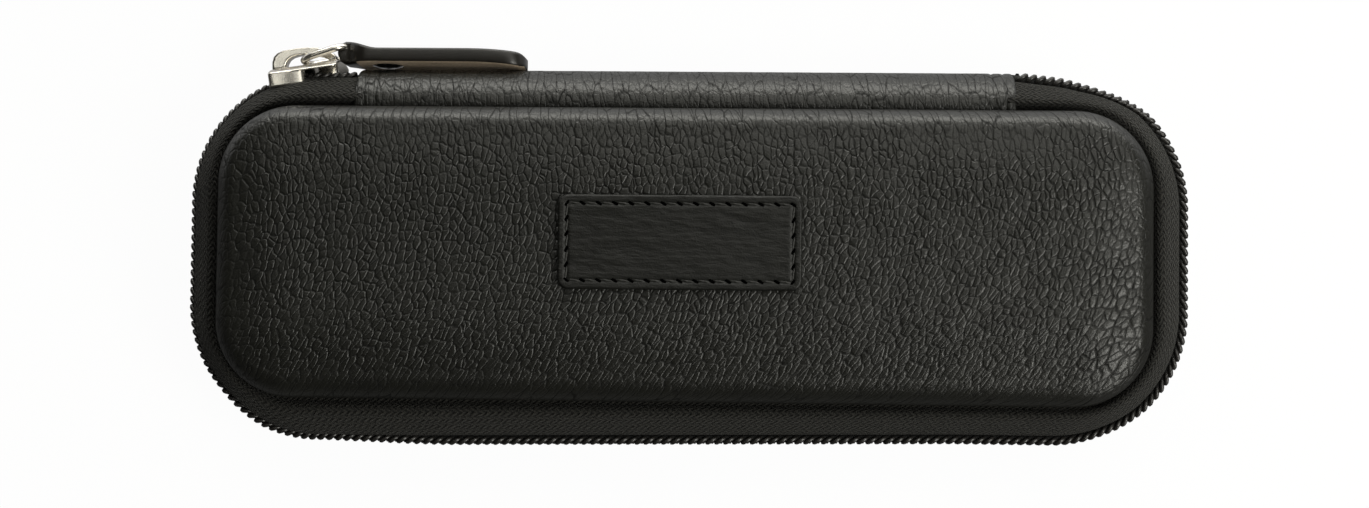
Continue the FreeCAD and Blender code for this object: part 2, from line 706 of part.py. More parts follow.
dress(tab, "Fillet", "dims.tab_round", tab_corner)
bore_radius = "dims.link_wire / 2 + dims.tab_bore_clear"
bore = circle_sketch(tab, "XY_Plane", "-dims.tab_neck / 2", "0", "0", bore_radius)
pocket(tab, bore, "dims.tab_neck", True)
hole_radius = "dims.rivet_post / 2 + dims.rivet_clear"
hole = circle_sketch(tab, "XZ_Plane", "-dims.tab_loop", "dims.rivet_place", "0", hole_radius)
pocket(tab, hole, "dims.tab_loop + dims.tab_drop + dims.tab_thick", True)
tab.Placement = Placement(tab_pivot, Rotation())

# Rivet: a low dome under the tab with its post through both layers
rivet = keep(new_body("pull_rivet"))
post = "dims.rivet_post / 2"
rim = "dims.rivet_head / 2"
profile = [
    ("0", "-dims.rivet_dome"),
    ("dims.rivet_brow", "-dims.rivet_brow_rise"),
    (rim, "-dims.rivet_rim"),
    (rim, "0"),
    (post, "0"),
    (post, "dims.tab_thick"),
    ("0", "dims.tab_thick"),
]
turned = rivet.newObject("PartDesign::Revolution", "rivet_turned")
turned.Profile = polygon_sketch(rivet, "XY_Plane", "0", profile)
turned.ReferenceAxis = (turned.Profile[0], ["V_Axis"])
turned.Angle = 360
doc.recompute()
rivet_seat = Vector(size("rivet_place"), value_of(under), 0)
rivet.Placement = Placement(tab_pivot + rivet_seat, Rotation())

doc.recompute()
for item in doc.Objects:
    if "Invalid" in item.State or "Error" in item.State:
        raise ValueError("%s did not build: %s" % (item.Label, item.State))
for piece in pieces:
    if piece.Shape.isNull() or not piece.Shape.isValid() or not piece.Shape.Solids:
        raise ValueError(piece.Label + " has no sound solid")
os.makedirs("parts", exist_ok=True)
for piece in pieces:
    piece.Shape.exportStep("parts/%s.step" % piece.Label)
    box = piece.Shape.BoundBox
    print("%-20s solids %d volume %.1f  x %.2f %.2f  y %.2f %.2f  z %.2f %.2f" % (
        piece.Label, len(piece.Shape.Solids), piece.Shape.Volume,
        box.XMin, box.XMax, box.YMin, box.YMax, box.ZMin, box.ZMax))
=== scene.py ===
import bmesh
import bpy
import math
import numpy as np
from mathutils import Matrix, Vector


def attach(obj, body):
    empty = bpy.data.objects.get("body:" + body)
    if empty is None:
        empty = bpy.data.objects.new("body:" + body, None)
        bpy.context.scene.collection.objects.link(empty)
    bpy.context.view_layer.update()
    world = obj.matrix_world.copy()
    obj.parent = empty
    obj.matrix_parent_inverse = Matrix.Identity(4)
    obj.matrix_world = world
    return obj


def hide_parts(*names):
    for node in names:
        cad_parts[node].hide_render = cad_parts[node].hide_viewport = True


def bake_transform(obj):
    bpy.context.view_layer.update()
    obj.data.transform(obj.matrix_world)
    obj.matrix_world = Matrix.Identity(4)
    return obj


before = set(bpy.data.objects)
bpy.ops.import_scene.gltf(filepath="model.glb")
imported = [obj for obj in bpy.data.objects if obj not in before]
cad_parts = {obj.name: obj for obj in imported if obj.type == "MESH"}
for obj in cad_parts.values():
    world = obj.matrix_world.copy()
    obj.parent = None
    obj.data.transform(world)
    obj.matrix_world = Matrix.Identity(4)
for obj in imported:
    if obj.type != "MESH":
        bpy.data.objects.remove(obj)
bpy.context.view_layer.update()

MM = 0.001


# Front cover: black tumbled cowhide drawn over a foam pad and a board, turned in and sewn to the zip tape.
# The pad gives it a rolled edge and a slight crown, the tumbling gives it pebbles with creases between them.
SEAM_X, SEAM_Y, SEAM_R = 77.7 * MM, 24.45 * MM, 13.0 * MM
FRONT_SEAM, REAR_SEAM = 23.0 * MM, 5.0 * MM
PANEL_RISE, PANEL_ROLL, CROWN, SHOULDER = 5.0 * MM, 4.2 * MM, 0.9 * MM, 9 * MM
PEBBLE_W, PEBBLE_L, GRAIN_DEPTH = 1.0 * MM, 1.6 * MM, 0.06 * MM
GRAIN_BOW, GRAIN_LEAN = 9.0, 0.3
PULL_REACH, STRETCH_REACH = 8 * MM, 9 * MM


def linear(code):
    """A six-figure sRGB hex colour as linear light."""
    parts = [int(code[i:i + 2], 16) / 255 for i in (1, 3, 5)]
    return [c / 12.92 if c <= 0.04045 else ((c + 0.055) / 1.055) ** 2.4 for c in parts] + [1.0]


def feed(tree, node, sockets):
    """Set each socket to its value, or link it to the output that feeds it."""
    for key, value in sockets.items():
        if isinstance(value, bpy.types.NodeSocket):
            tree.links.new(value, node.inputs[key])
        else:
            node.inputs[key].default_value = value


def add(tree, kind, sockets=None, **settings):
    """The outputs of a new node with its settings and what its sockets are fed."""
    node = tree.nodes.new(kind)
    for name, value in settings.items():
        setattr(node, name, value)
    feed(tree, node, sockets or {})
    return node.outputs


def spot_on(tree):
    """Where a point lies on its object."""
    return add(tree, "ShaderNodeTexCoord")["Object"]


def reckon(tree, operation, *values):
    """The result of a sum on plain values."""
    return add(tree, "ShaderNodeMath", dict(enumerate(values)), operation=operation)[0]


def steer(tree, operation, *values):
    """The result of a sum on vectors."""
    return add(tree, "ShaderNodeVectorMath", dict(enumerate(values)), operation=operation)[0]


def ranged(tree, value, low, high, start=0.0, end=1.0, kind="LINEAR"):
    """A value that runs from low to high while another runs from start to end."""
    sockets = {"Value": value, "From Min": start, "From Max": end, "To Min": low, "To Max": high}
    return add(tree, "ShaderNodeMapRange", sockets, interpolation_type=kind)[0]


def noise(tree, lie, scale, detail=2.0):
    """An uneven pattern from 0 to 1."""
    return add(tree, "ShaderNodeTexNoise", {"Vector": lie, "Scale": scale, "Detail": detail})["Fac"]


def tinted(tree, factor, *colours):
    """A colour between two, each a hex colour or an output."""
    first, second = [linear(c) if isinstance(c, str) else c for c in colours]
    sockets = {"Factor": factor, "A": first, "B": second}
    return add(tree, "ShaderNodeMix", sockets, data_type="RGBA")["Result"]


def bumped(tree, height, depth, strength=1.0):
    """A normal bent by a height, where a height of 1 is this deep."""
    return add(tree, "ShaderNodeBump", {"Height": height, "Strength": strength, "Distance": depth})[0]


def new_material(name):
    """A material with its tree and its surface node."""
    material = bpy.data.materials.new(name)
    material.use_nodes = True
    tree = material.node_tree
    return material, tree, tree.nodes["Principled BSDF"]


def look(name, surface):
    """A material whose surface a function works out from its tree and the place on the object."""
    material, tree, skin = new_material(name)
    feed(tree, skin, surface(tree, spot_on(tree)))
    return material


def pebbles(tree, lie, dome=0.6, width=0.22, depth=0.34):
    """Tumbled grain over its lie, counted in pebbles: domed relief up to 1, and the creases alone."""
    warp = add(tree, "ShaderNodeTexNoise", {"Vector": lie, "Scale": 0.7, "Detail": 1.5})["Color"]
    shove = steer(tree, "SUBTRACT", warp, (0.5, 0.5, 0.5))
    bent = steer(tree, "MULTIPLY_ADD", shove, (0.9, 0.9, 0.0), lie)
    distances = []
    for feature in ("DISTANCE_TO_EDGE", "F1"):
        stone = {"Vector": bent, "Scale": 1.0, "Randomness": 0.9}
        cell = add(tree, "ShaderNodeTexVoronoi", stone, feature=feature, voronoi_dimensions="2D")
        distances.append(cell["Distance"])
    edge, near = distances
    dip = reckon(tree, "MULTIPLY", reckon(tree, "MULTIPLY", near, near), dome)
    groove = ranged(tree, edge, depth, 0.0, end=width, kind="SMOOTHERSTEP")
    force = ranged(tree, noise(tree, lie, 0.22, 1.0), 0.5, 1.0, start=0.3, end=0.6)
    sunk = reckon(tree, "MULTIPLY", reckon(tree, "ADD", dip, groove), force)
    line = ranged(tree, edge, 1.0, 0.0, end=width * 0.7, kind="SMOOTHSTEP")
    return reckon(tree, "SUBTRACT", 1.0, sunk), reckon(tree, "MULTIPLY", line, force)


def tumbled_hide(tree, place):
    """Tumbled black cowhide with a satin finish coat: pebbles catch the light, creases are duller and painted
    darker as painted shade.
    """
    lie = add(tree, "ShaderNodeAttribute", attribute_name="grain")["Vector"]
    pull = add(tree, "ShaderNodeSeparateXYZ", {0: lie})["Z"]
    fine, fine_crease = pebbles(tree, steer(tree, "MULTIPLY", lie, (1, 1, 0)))
    long_lie = steer(tree, "MULTIPLY", lie, (0.62, 0.32, 0))
    broad, broad_crease = pebbles(tree, long_lie, dome=0.2, width=0.12, depth=0.14)
    relief = add(tree, "ShaderNodeMix", {"Factor": pull, "A": fine, "B": broad})["Result"]
    crease_and_painted_shade = add(tree, "ShaderNodeMix", {"Factor": pull, "A": fine_crease, "B": broad_crease})["Result"]
    height = reckon(tree, "MULTIPLY_ADD", noise(tree, place, 1 / (0.35 * MM)), 0.22, relief)
    body = tinted(tree, noise(tree, place, 1 / (14 * MM)), "#11110e", "#181814")
    # The base colour darkens into the creases as painted shade; their higher roughness and lower specular are
    # the real finish.
    return {
        "Base Color": tinted(tree, crease_and_painted_shade, body, "#060605"), "Normal": bumped(tree, height, 0.27 * MM),
        "Roughness": ranged(tree, crease_and_painted_shade, 0.35, 0.7), "Specular IOR Level": ranged(tree, crease_and_painted_shade, 0.5, 0.12),
        "IOR": 1.48}


def outline(half_x, half_y, radius, n_long, n_short):
    """A rounded rectangle, each side from the middle of one corner to the middle of the next."""
    spots = []
    for turn in range(4):
        a, b, n = ((half_x, half_y, n_long), (half_y, half_x, n_short))[turn % 2]
        arc, flat = radius * math.pi / 4, 2 * (a - radius)
        s = np.arange(n) / n * (flat + 2 * arc)
        first = np.minimum(s, arc) / radius - 3 * math.pi / 4
        last = np.maximum(s - arc - flat, 0) / radius
        angle = np.where(s < arc + flat, first, last - math.pi / 2)
        x = np.clip(s - arc, 0, flat) - flat / 2 + radius * np.cos(angle)
        y = radius - b + radius * np.sin(angle)
        c, d = math.cos(turn * math.pi / 2), math.sin(turn * math.pi / 2)
        spots.append(np.column_stack((c * x - d * y, d * x + c * y)))
    return np.vstack(spots)


def inset_of(x, y, half_x, half_y, radius):
    """How far a point lies inside a rounded rectangle."""
    qx, qy = np.abs(x) - half_x + radius, np.abs(y) - half_y + radius
    return radius - np.hypot(np.maximum(qx, 0), np.maximum(qy, 0)) - np.minimum(np.maximum(qx, qy), 0)


def new_piece(name, verts, faces, material):
    """A smooth-shaded object from points and faces."""
    mesh = bpy.data.meshes.new(name)
    mesh.from_pydata([tuple(v) for v in verts], [], [tuple(f) for f in faces])
    mesh.polygons.foreach_set("use_smooth", [True] * len(mesh.polygons))
    mesh.materials.append(material)
    piece = bpy.data.objects.new(name, mesh)
    bpy.context.scene.collection.objects.link(piece)
    return piece


def face_outwards(piece):
    """Turn every face of a closed piece to the outside."""
    form = bmesh.new()
    form.from_mesh(piece.data)
    bmesh.ops.recalc_face_normals(form, faces=form.faces)
    form.to_mesh(piece.data)
    form.free()


def ring_faces(n, k, base=0, closed=False):
    """The faces between the rings of a row, n rings of k points each."""
    faces = []
    for i in range(n if closed else n - 1):
        a, b = base + i * k, base + (i + 1) % n * k
        faces += [(a + j, a + (j + 1) % k, b + (j + 1) % k, b + j) for j in range(k)]
    return faces


def pad_panel(name, size, rings, height, n_long, n_short, material, centre=(0.0, 0.0)):
    """A closed pad, whose rings step in from its rounded edge to a grid, and each point's lie when flat."""
    half_x, half_y, radius = size
    rows, lies = [], []
    spread = rings[-1][0]
    for k in reversed(range(len(rings))):
        inset, z = rings[k]
        if k < len(rings) - 1:
            spread -= math.hypot(rings[k + 1][0] - inset, rings[k + 1][1] - z)
        flat = outline(half_x - inset, half_y - inset, radius - inset, n_long, n_short)
        rows.insert(0, np.column_stack((flat, np.full(len(flat), z))))
        lies.insert(0, outline(half_x - spread, half_y - spread, radius - spread, n_long, n_short))
    count = len(rows[0])
    verts = list(np.vstack(rows))
    faces = ring_faces(len(rows), count)
    base = (len(rows) - 1) * count
    ring = rows[-1][:, :2]
    low = ring[:n_long + 1]
    right = ring[n_long:n_long + n_short + 1]
    high = ring[n_long + n_short:2 * n_long + n_short + 1][::-1]
    left = np.vstack((ring[2 * n_long + n_short:], ring[:1]))[::-1]
    index = np.zeros((n_long + 1, n_short + 1), int)
    index[:, 0] = base + np.arange(n_long + 1)
    index[-1, :] = base + n_long + np.arange(n_short + 1)
    index[:, -1] = base + (2 * n_long + n_short - np.arange(n_long + 1))
    index[0, :] = base + (count - np.arange(n_short + 1)) % count
    for i in range(1, n_long):
        u = i / n_long
        v = np.arange(1, n_short)[:, None] / n_short
        spots = (1 - v) * low[i] + v * high[i] + (1 - u) * left[1:-1] + u * right[1:-1]
        corners = (1 - u) * (1 - v) * low[0] + u * (1 - v) * low[-1]
        spots = spots - (corners + (1 - u) * v * high[0] + u * v * high[-1])
        z = height(inset_of(spots[:, 0], spots[:, 1], half_x, half_y, radius))
        index[i, 1:-1] = len(verts) + np.arange(n_short - 1)
        verts.extend(np.column_stack((spots, z)))
    for i in range(n_long):
        for j in range(n_short):
            faces.append((index[i, j], index[i + 1, j], index[i + 1, j + 1], index[i, j + 1]))
    faces.append(tuple(range(count)))
    verts = np.array(verts)
    lies = np.vstack(lies + [verts[len(rows) * count:, :2]])
    piece = new_piece(name, verts + (*centre, 0), faces, material)
    face_outwards(piece)
    return piece, lies


def lay_grain(piece, lie, pull=None):
    """Keep where each vertex lies in the hide, counted in pebbles, and how hard the hide is drawn there."""
    if pull is None:
        turned_in = np.maximum(np.abs(lie[:, 0]) - SEAM_X, np.abs(lie[:, 1]) - SEAM_Y) / PULL_REACH + 1
        pull = 0.2 + 0.7 * np.clip(turned_in, 0, 1) ** 1.5
    askew = GRAIN_BOW * lie[:, 1] ** 2 - GRAIN_LEAN * lie[:, 1]
    drawn = []
    for values, half, pebble in ((lie[:, 0] + askew, SEAM_X, PEBBLE_W), (lie[:, 1], SEAM_Y, PEBBLE_L)):
        beyond = np.clip(np.abs(values) - half + STRETCH_REACH, 0, 1.5 * STRETCH_REACH)
        stretch = 0.17 * beyond ** 2 / STRETCH_REACH
        drawn.append(np.sign(values) * (np.abs(values) - stretch) / pebble)
    flat = np.column_stack((*drawn, np.zeros(len(lie)) + pull))
    piece.data.attributes.new("grain", "FLOAT_VECTOR", "POINT").data.foreach_set("vector", flat.ravel())


def new_tree(name, **kinds):
    """A node tree for a modifier, what it is given, with named sizes of these kinds, and its result."""
    tree = bpy.data.node_groups.new(name, "GeometryNodeTree")
    for label, kind in {"Geometry": "Geometry", **kinds, "Material": "Material"}.items():
        tree.interface.new_socket(label, in_out="INPUT", socket_type="NodeSocket" + kind)
    tree.interface.new_socket("Geometry", in_out="OUTPUT", socket_type="NodeSocketGeometry")
    return tree, tree.nodes.new("NodeGroupInput").outputs, tree.nodes.new("NodeGroupOutput")


def give_out(tree, geometry, given, result):
    """End a tree: its copies become one mesh in the material that it was given."""
    single = add(tree, "GeometryNodeRealizeInstances", {"Geometry": geometry})[0]
    dyed = add(tree, "GeometryNodeSetMaterial", {"Geometry": single, "Material": given["Material"]})
    feed(tree, result, {0: dyed[0]})


def bake(piece, tree, material, **sizes):
    """Run a tree on a piece with these named sizes and keep the result as its mesh."""
    values = {"Material": material, **sizes}
    modifier = piece.modifiers.new(tree.name, "NODES")
    modifier.node_group = tree
    for item in tree.interface.items_tree:
        if item.in_out == "INPUT" and item.name in values:
            modifier[item.identifier] = values[item.name]
    shaped = piece.evaluated_get(bpy.context.evaluated_depsgraph_get())
    mesh = bpy.data.meshes.new_from_object(shaped)
    piece.modifiers.clear()
    piece.data = mesh
    mesh.polygons.foreach_set("use_smooth", [True] * len(mesh.polygons))
    return piece


grain_tree, given, result = new_tree("tumbled_grain", Depth="Float")
lie = add(grain_tree, "GeometryNodeInputNamedAttribute", {"Name": "grain"}, data_type="FLOAT_VECTOR")[0]
relief = pebbles(grain_tree, steer(grain_tree, "MULTIPLY", lie, (0.45, 0.42, 0)))[0]
pull = add(grain_tree, "ShaderNodeSeparateXYZ", {0: lie})["Z"]
sunk = reckon(grain_tree, "SUBTRACT", relief, 1.0)
sunk = reckon(grain_tree, "MULTIPLY", sunk, ranged(grain_tree, pull, 1.0, 0.25))
drop = reckon(grain_tree, "MULTIPLY", sunk, given["Depth"])
aim = add(grain_tree, "GeometryNodeInputNormal")[0]
shift = add(grain_tree, "ShaderNodeVectorMath", {0: aim, "Scale": drop}, operation="SCALE")[0]
moved = add(grain_tree, "GeometryNodeSetPosition", {"Geometry": given[0], "Offset": shift})
give_out(grain_tree, moved[0], given, result)


def front_height(inset):
    """The front cover's face, whose crown rises over 10 mm in from the rolled edge."""
    rise = np.clip((inset - PANEL_ROLL) / (10 * MM), 0, 1)
    return FRONT_SEAM + PANEL_RISE + CROWN * (1 - (1 - rise) ** 2)


def padded_cover(name, seam, sign, height, n_long, n_short):
    """A cover from its turned-in seam round the rolled edge, in across the shoulder and over the pad."""
    rings = [(0.7 * MM, seam), (0.1 * MM, seam + sign * 0.05 * MM), (0.0, seam + sign * 0.25 * MM)]
    for k in range(1, 17):
        angle = k / 16 * math.pi / 2
        rings.append((PANEL_ROLL * (1 - math.cos(angle)), seam + sign * PANEL_RISE * math.sin(angle)))
    rings += [(d, float(height(d))) for d in np.linspace(PANEL_ROLL, SHOULDER, 13)[1:]]
    piece, lie = pad_panel(name, (SEAM_X, SEAM_Y, SEAM_R), rings, height, n_long, n_short, hide)
    lay_grain(piece, lie)
    return bake(piece, grain_tree, hide, Depth=GRAIN_DEPTH)


hide = look("tumbled_black_cowhide", tumbled_hide)
front_cover = padded_cover("front_cover", FRONT_SEAM, 1, front_height, 420, 122)
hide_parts("front_leather", "front_foam", "front_board")
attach(front_cover, "front_half")


# Rear cover: the same hide over the same pad, without the crown, so that the case lies flat on it.
# It carries the pens, the spine and the lower half of the zip.
def flat_face(level):
    """The height of a face that is level all over."""
    return lambda inset: np.full(np.shape(inset), level)


rear_cover = padded_cover("rear_cover", REAR_SEAM, -1, flat_face(REAR_SEAM - PANEL_RISE), 300, 88)
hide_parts("rear_leather", "rear_foam", "rear_board")
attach(rear_cover, "rear_half")


# Label patch: a piece of smooth leather with burnished edges, sewn to the front cover through a marked line.
# Its face is bare.
PATCH_X, PATCH_Y, PATCH_R = 19.95 * MM, 7.75 * MM, 1.8 * MM
PATCH_LOW, PATCH_TOP = 28.9 * MM, 30.0 * MM
PATCH_MIDDLE = (0.0, 1.8 * MM)
STITCH_LINE = 1.45 * MM


def smooth_hide(tree, place):
    """Smooth drum-dyed leather: a low sheen with faint stretch lines along it."""
    stretch = (1 / (5.5 * MM), 1 / (1.6 * MM), 1 / (5.5 * MM))
    drawn = add(tree, "ShaderNodeMapping", {"Vector": place, "Scale": stretch})[0]
    lines = noise(tree, drawn, 1.0, 3.0)
    height = reckon(tree, "MULTIPLY_ADD", noise(tree, place, 1 / (0.25 * MM)), 0.12, lines)
    return {
        "Base Color": tinted(tree, lines, "#0b0b09", "#151512"),
        "Normal": bumped(tree, height, 0.45 * MM),
        "Roughness": 0.46, "Specular IOR Level": 0.32, "IOR": 1.48}


def patch_height(inset):
    """The patch's face, with the marked line and a slight dish inside it."""
    groove = np.exp(-((inset - STITCH_LINE) / (0.32 * MM)) ** 2)
    dish = np.clip((inset - STITCH_LINE) / (2 * MM), 0, 1)
    return PATCH_TOP - 0.22 * MM * groove - 0.05 * MM * dish


patch_hide = look("smooth_black_leather", smooth_hide)
rings = [(0.1 * MM, PATCH_LOW - 0.25 * MM), (0.0, PATCH_LOW)]
for inset, down in ((0, 0.45), (0.05, 0.24), (0.16, 0.09), (0.32, 0.01)):
    rings.append((inset * MM, PATCH_TOP - down * MM))
rings += [(d, float(patch_height(d))) for d in np.linspace(0.45, 1.6, 9) * MM]
label_patch = pad_panel(
    "sewn_patch", (PATCH_X, PATCH_Y, PATCH_R), rings, patch_height, 150, 56, patch_hide, PATCH_MIDDLE)[0]
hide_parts("label_patch")
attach(label_patch, "front_half")


# Patch stitching: waxed black thread, each stitch lying a little aslant in the marked line.
# The stitches are 2.6 mm apart and sink at both ends into slits that the needle cut, where small dark matt
# capsules stand in as painted shadow.
STITCH_STEP = 2.6 * MM


def waxed_thread(tree, place):
    """Twisted polyester thread with wax on it: dull black, with the twist just showing."""
    sockets = {"Vector": place, "Scale": 1 / (1.3 * MM), "Distortion": 1.0}
    twist = add(tree, "ShaderNodeTexWave", sockets, bands_direction="DIAGONAL")["Fac"]
    return {
        "Base Color": tinted(tree, twist, "#0e0e0b", "#1a1a16"),
        "Normal": bumped(tree, twist, 0.05 * MM, 0.5), "Roughness": 0.55}


def swept(tree, path, thickness, sides, caps):
    """A round thread or wire along a path."""
    half = reckon(tree, "MULTIPLY", thickness, 0.5)
    ring = add(tree, "GeometryNodeCurvePrimitiveCircle", {"Resolution": sides, "Radius": half})[0]
    sockets = {"Curve": path, "Profile Curve": ring, "Fill Caps": caps}
    return add(tree, "GeometryNodeCurveToMesh", sockets)[0]


def set_copies(tree, shape, given, result, slant=0.0):
    """End a tree with a copy of a shape on every point, turned to the point's course."""
    points = add(tree, "GeometryNodeMeshToPoints", {"Mesh": given[0]})[0]
    course = add(tree, "GeometryNodeInputNamedAttribute", {"Name": "course"}, data_type="FLOAT")[0]
    turned = add(tree, "ShaderNodeCombineXYZ", {"Z": reckon(tree, "ADD", course, slant)})[0]
    sockets = {"Points": points, "Instance": shape, "Rotation": turned}
    give_out(tree, add(tree, "GeometryNodeInstanceOnPoints", sockets)[0], given, result)


def marks(name, spots, courses, material):
    """Bare points, each with the direction that its copy takes."""
    piece = new_piece(name, spots, [], material)
    piece.data.attributes.new("course", "FLOAT", "POINT").data.foreach_set("value", list(courses))
    return piece


stitch_tree, given, result = new_tree(
    "row_of_stitches", Length="Float", Thickness="Float", Slant="Float", Sag="Float")
corners = {}
for socket, along, level in (("Start", -0.5, -1.0), ("Middle", 0.0, 1.0), ("End", 0.5, -1.0)):
    x = reckon(stitch_tree, "MULTIPLY", given["Length"], along)
    z = reckon(stitch_tree, "MULTIPLY", given["Sag"], level)
    corners[socket] = add(stitch_tree, "ShaderNodeCombineXYZ", {"X": x, "Z": z})[0]
run = add(stitch_tree, "GeometryNodeCurveQuadraticBezier", {"Resolution": 6, **corners})[0]
stitch = swept(stitch_tree, run, given["Thickness"], 8, True)
set_copies(stitch_tree, stitch, given, result, given["Slant"])

thread = look("waxed_black_thread", waxed_thread)
slit_shadow_paint, tree, skin = new_material("needle_slit_shadow")
feed(tree, skin, {"Base Color": linear("#020202"), "Roughness": 1.0, "Specular IOR Level": 0.0})
line_x, line_y = PATCH_X - STITCH_LINE, PATCH_Y - STITCH_LINE
spots, courses, pricks = [], [], []
for side, (reach, across) in enumerate(((line_x, line_y), (line_y, line_x)) * 2):
    turn = side * math.pi / 2
    c, s = math.cos(turn), math.sin(turn)
    count = round(2 * reach / STITCH_STEP)
    for k in range(count):
        along = (k + 0.5) / count * 2 * reach - reach
        x = along * c + across * s + PATCH_MIDDLE[0]
        y = along * s - across * c + PATCH_MIDDLE[1]
        spots.append((x, y, PATCH_TOP - 0.24 * MM))
        pricks.append((x - STITCH_STEP / 2 * c, y - STITCH_STEP / 2 * s, PATCH_TOP - 0.3 * MM))
        courses.append(turn)
patch_thread = marks("patch_thread", spots, courses, thread)
bake(patch_thread, stitch_tree, thread,
     Length=2.1 * MM, Thickness=0.42 * MM, Slant=math.radians(-9), Sag=0.12 * MM)
# Small dark matt capsules in the needle slits: painted shadow in the holes.
needle_slit_shadows = marks("patch_needle_slits", pricks, courses, slit_shadow_paint)
bake(needle_slit_shadows, stitch_tree, slit_shadow_paint,
     Length=1.0 * MM, Thickness=0.6 * MM, Slant=math.radians(-35), Sag=0.0)
for row in (patch_thread, needle_slit_shadows):
    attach(row, "front_half")


# Linings: black cotton twill glued to the inside of each board, its edge turned under.
# They are plain and matt, with a line pressed round them where the edge is turned.
LINING, LINING_GAP = 0.6 * MM, 1.8 * MM
LINING_SIZE = (SEAM_X - LINING_GAP, SEAM_Y - LINING_GAP, SEAM_R - LINING_GAP)
WAVE_LENGTH = 0.314  # what a wave pattern of scale 1 repeats over


def lining_twill(tree, place):
    """Cotton twill: fine diagonal ribs, drawn at 0.7 mm so that they show, and no gloss."""
    sockets = {"Vector": place, "Scale": WAVE_LENGTH / (0.7 * MM), "Distortion": 0.6, "Detail Scale": 3.0}
    ribs = add(tree, "ShaderNodeTexWave", sockets, bands_direction="DIAGONAL")["Fac"]
    height = reckon(tree, "MULTIPLY_ADD", noise(tree, place, 1 / (0.4 * MM)), 0.6, ribs)
    return {
        "Base Color": tinted(tree, ribs, "#161618", "#28282b"),
        "Normal": bumped(tree, height, 0.1 * MM, 0.6), "Roughness": 0.85,
        "Sheen Weight": 0.25, "Sheen Roughness": 0.4}


twill = look("black_cotton_twill", lining_twill)
for half, cover, seam, sign in (("rear", rear_cover, REAR_SEAM, 1), ("front", front_cover, FRONT_SEAM, -1)):
    face = seam + sign * LINING
    rings = [(0.0, seam + sign * 0.02 * MM), (0.0, seam + sign * 0.3 * MM)]
    for inset, down in ((0.12, 0.08), (0.35, 0), (1.4, 0), (1.6, 0.12), (1.8, 0), (5, 0)):
        rings.append((inset * MM, face - sign * down * MM))
    cloth = pad_panel(half + "_lining_cloth", LINING_SIZE, rings, flat_face(face), 75, 22, twill)[0]
    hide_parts(half + "_lining")
    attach(cloth, half + "_half")
    width, length, corner = 2 * LINING_SIZE[1], 2 * LINING_SIZE[0], LINING_SIZE[2]


# Zip tapes: black polyester tape in a herringbone weave, sewn under each cover's edge, bowed out to the coil.
# Each runs from one end of the spine round the three open sides to the other end.
RIM_X, RIM_Y, RIM_R = 85.0 * MM, 31.75 * MM, 23.0 * MM
MIDDLE = 14.0 * MM
SPINE_END, UNDER_SPINE = 55.5 * MM, 1.5 * MM
SEAM_INSET, BELT_INSET = 7.3 * MM, 1.7 * MM
TAPE_STEPS = (10, 36, 16, 110)


def woven_tape(tree, place):
    """Polyester tape: chevrons 1.1 mm apart that turn every 0.7 mm across it, matt with a little fuzz."""
    lie = add(tree, "ShaderNodeSeparateXYZ", {0: add(tree, "ShaderNodeUVMap", uv_map="lie")[0]})
    rows = reckon(tree, "MULTIPLY", lie["Y"], 1 / (0.7 * MM))
    bend = reckon(tree, "PINGPONG", reckon(tree, "ADD", rows, noise(tree, place, 1 / (1.6 * MM))), 1.0)
    picks = reckon(tree, "MULTIPLY_ADD", lie["X"], 1 / (1.1 * MM), bend)
    rib = reckon(tree, "SINE", reckon(tree, "MULTIPLY", picks, 2 * math.pi))
    valley = reckon(tree, "ABSOLUTE", reckon(tree, "SUBTRACT", bend, 0.5))
    relief = reckon(tree, "MULTIPLY_ADD", valley, -1.6, rib)
    relief = reckon(tree, "MULTIPLY_ADD", noise(tree, place, 1 / (0.28 * MM)), 3.0, relief)
    # The colour follows the weave's relief: painted shade in its hollows and painted highlight on its ribs.
    painted_weave_shade = ranged(tree, relief, 0.0, 1.0, start=-0.6, end=2.9)
    return {
        "Base Color": tinted(tree, painted_weave_shade, "#020202", "#2d2c28"),
        "Normal": bumped(tree, relief, 0.14 * MM), "Roughness": 0.85, "Specular IOR Level": 0.25,
        "Sheen Weight": 0.04, "Sheen Roughness": 0.5}


def skinned(name, material, *rows, closed=False):
    """A piece skinned over rows of rings, with the ends closed unless each row runs back into itself."""
    verts, faces = [], []
    for rings in rows:
        base, n, k = len(verts), len(rings), len(rings[0])
        verts += [spot for ring in rings for spot in ring]
        faces += ring_faces(n, k, base, closed)
        if not closed:
            faces += [tuple(range(base, base + k)), tuple(range(base + (n - 1) * k, base + n * k))]
    piece = new_piece(name, verts, faces, material)
    face_outwards(piece)
    return piece


def legs_of(half_x, half_y, radius, end_x):
    """The straight legs from the spine's left end round to its right end, and the corners' centres."""
    cx, cy = half_x - radius, half_y - radius
    legs = [((-end_x, half_y), (-cx, half_y)), ((-half_x, cy), (-half_x, -cy)),
            ((-cx, -half_y), (cx, -half_y)), ((half_x, -cy), (half_x, cy)), ((cx, half_y), (end_x, half_y))]
    return legs, [(-cx, cy), (-cx, -cy), (cx, -cy), (cx, cy)]


def open_sides(half_x, half_y, radius, end_x):
    """Points along the legs and round the corners."""
    end, arc, short, long = TAPE_STEPS
    legs, centres = legs_of(half_x, half_y, radius, end_x)
    spots = []
    for i, ((a, b), n) in enumerate(zip(legs, (end, short, long, short, end))):
        last = i == len(centres)
        t = np.arange(n + last) / n
        spots.append(np.outer(1 - t, a) + np.outer(t, b))
        if not last:
            angle = np.radians(90 + 90 * i + np.arange(arc) / arc * 90)
            spots.append(np.array(centres[i]) + radius * np.column_stack((np.cos(angle), np.sin(angle))))
    return np.vstack(spots)


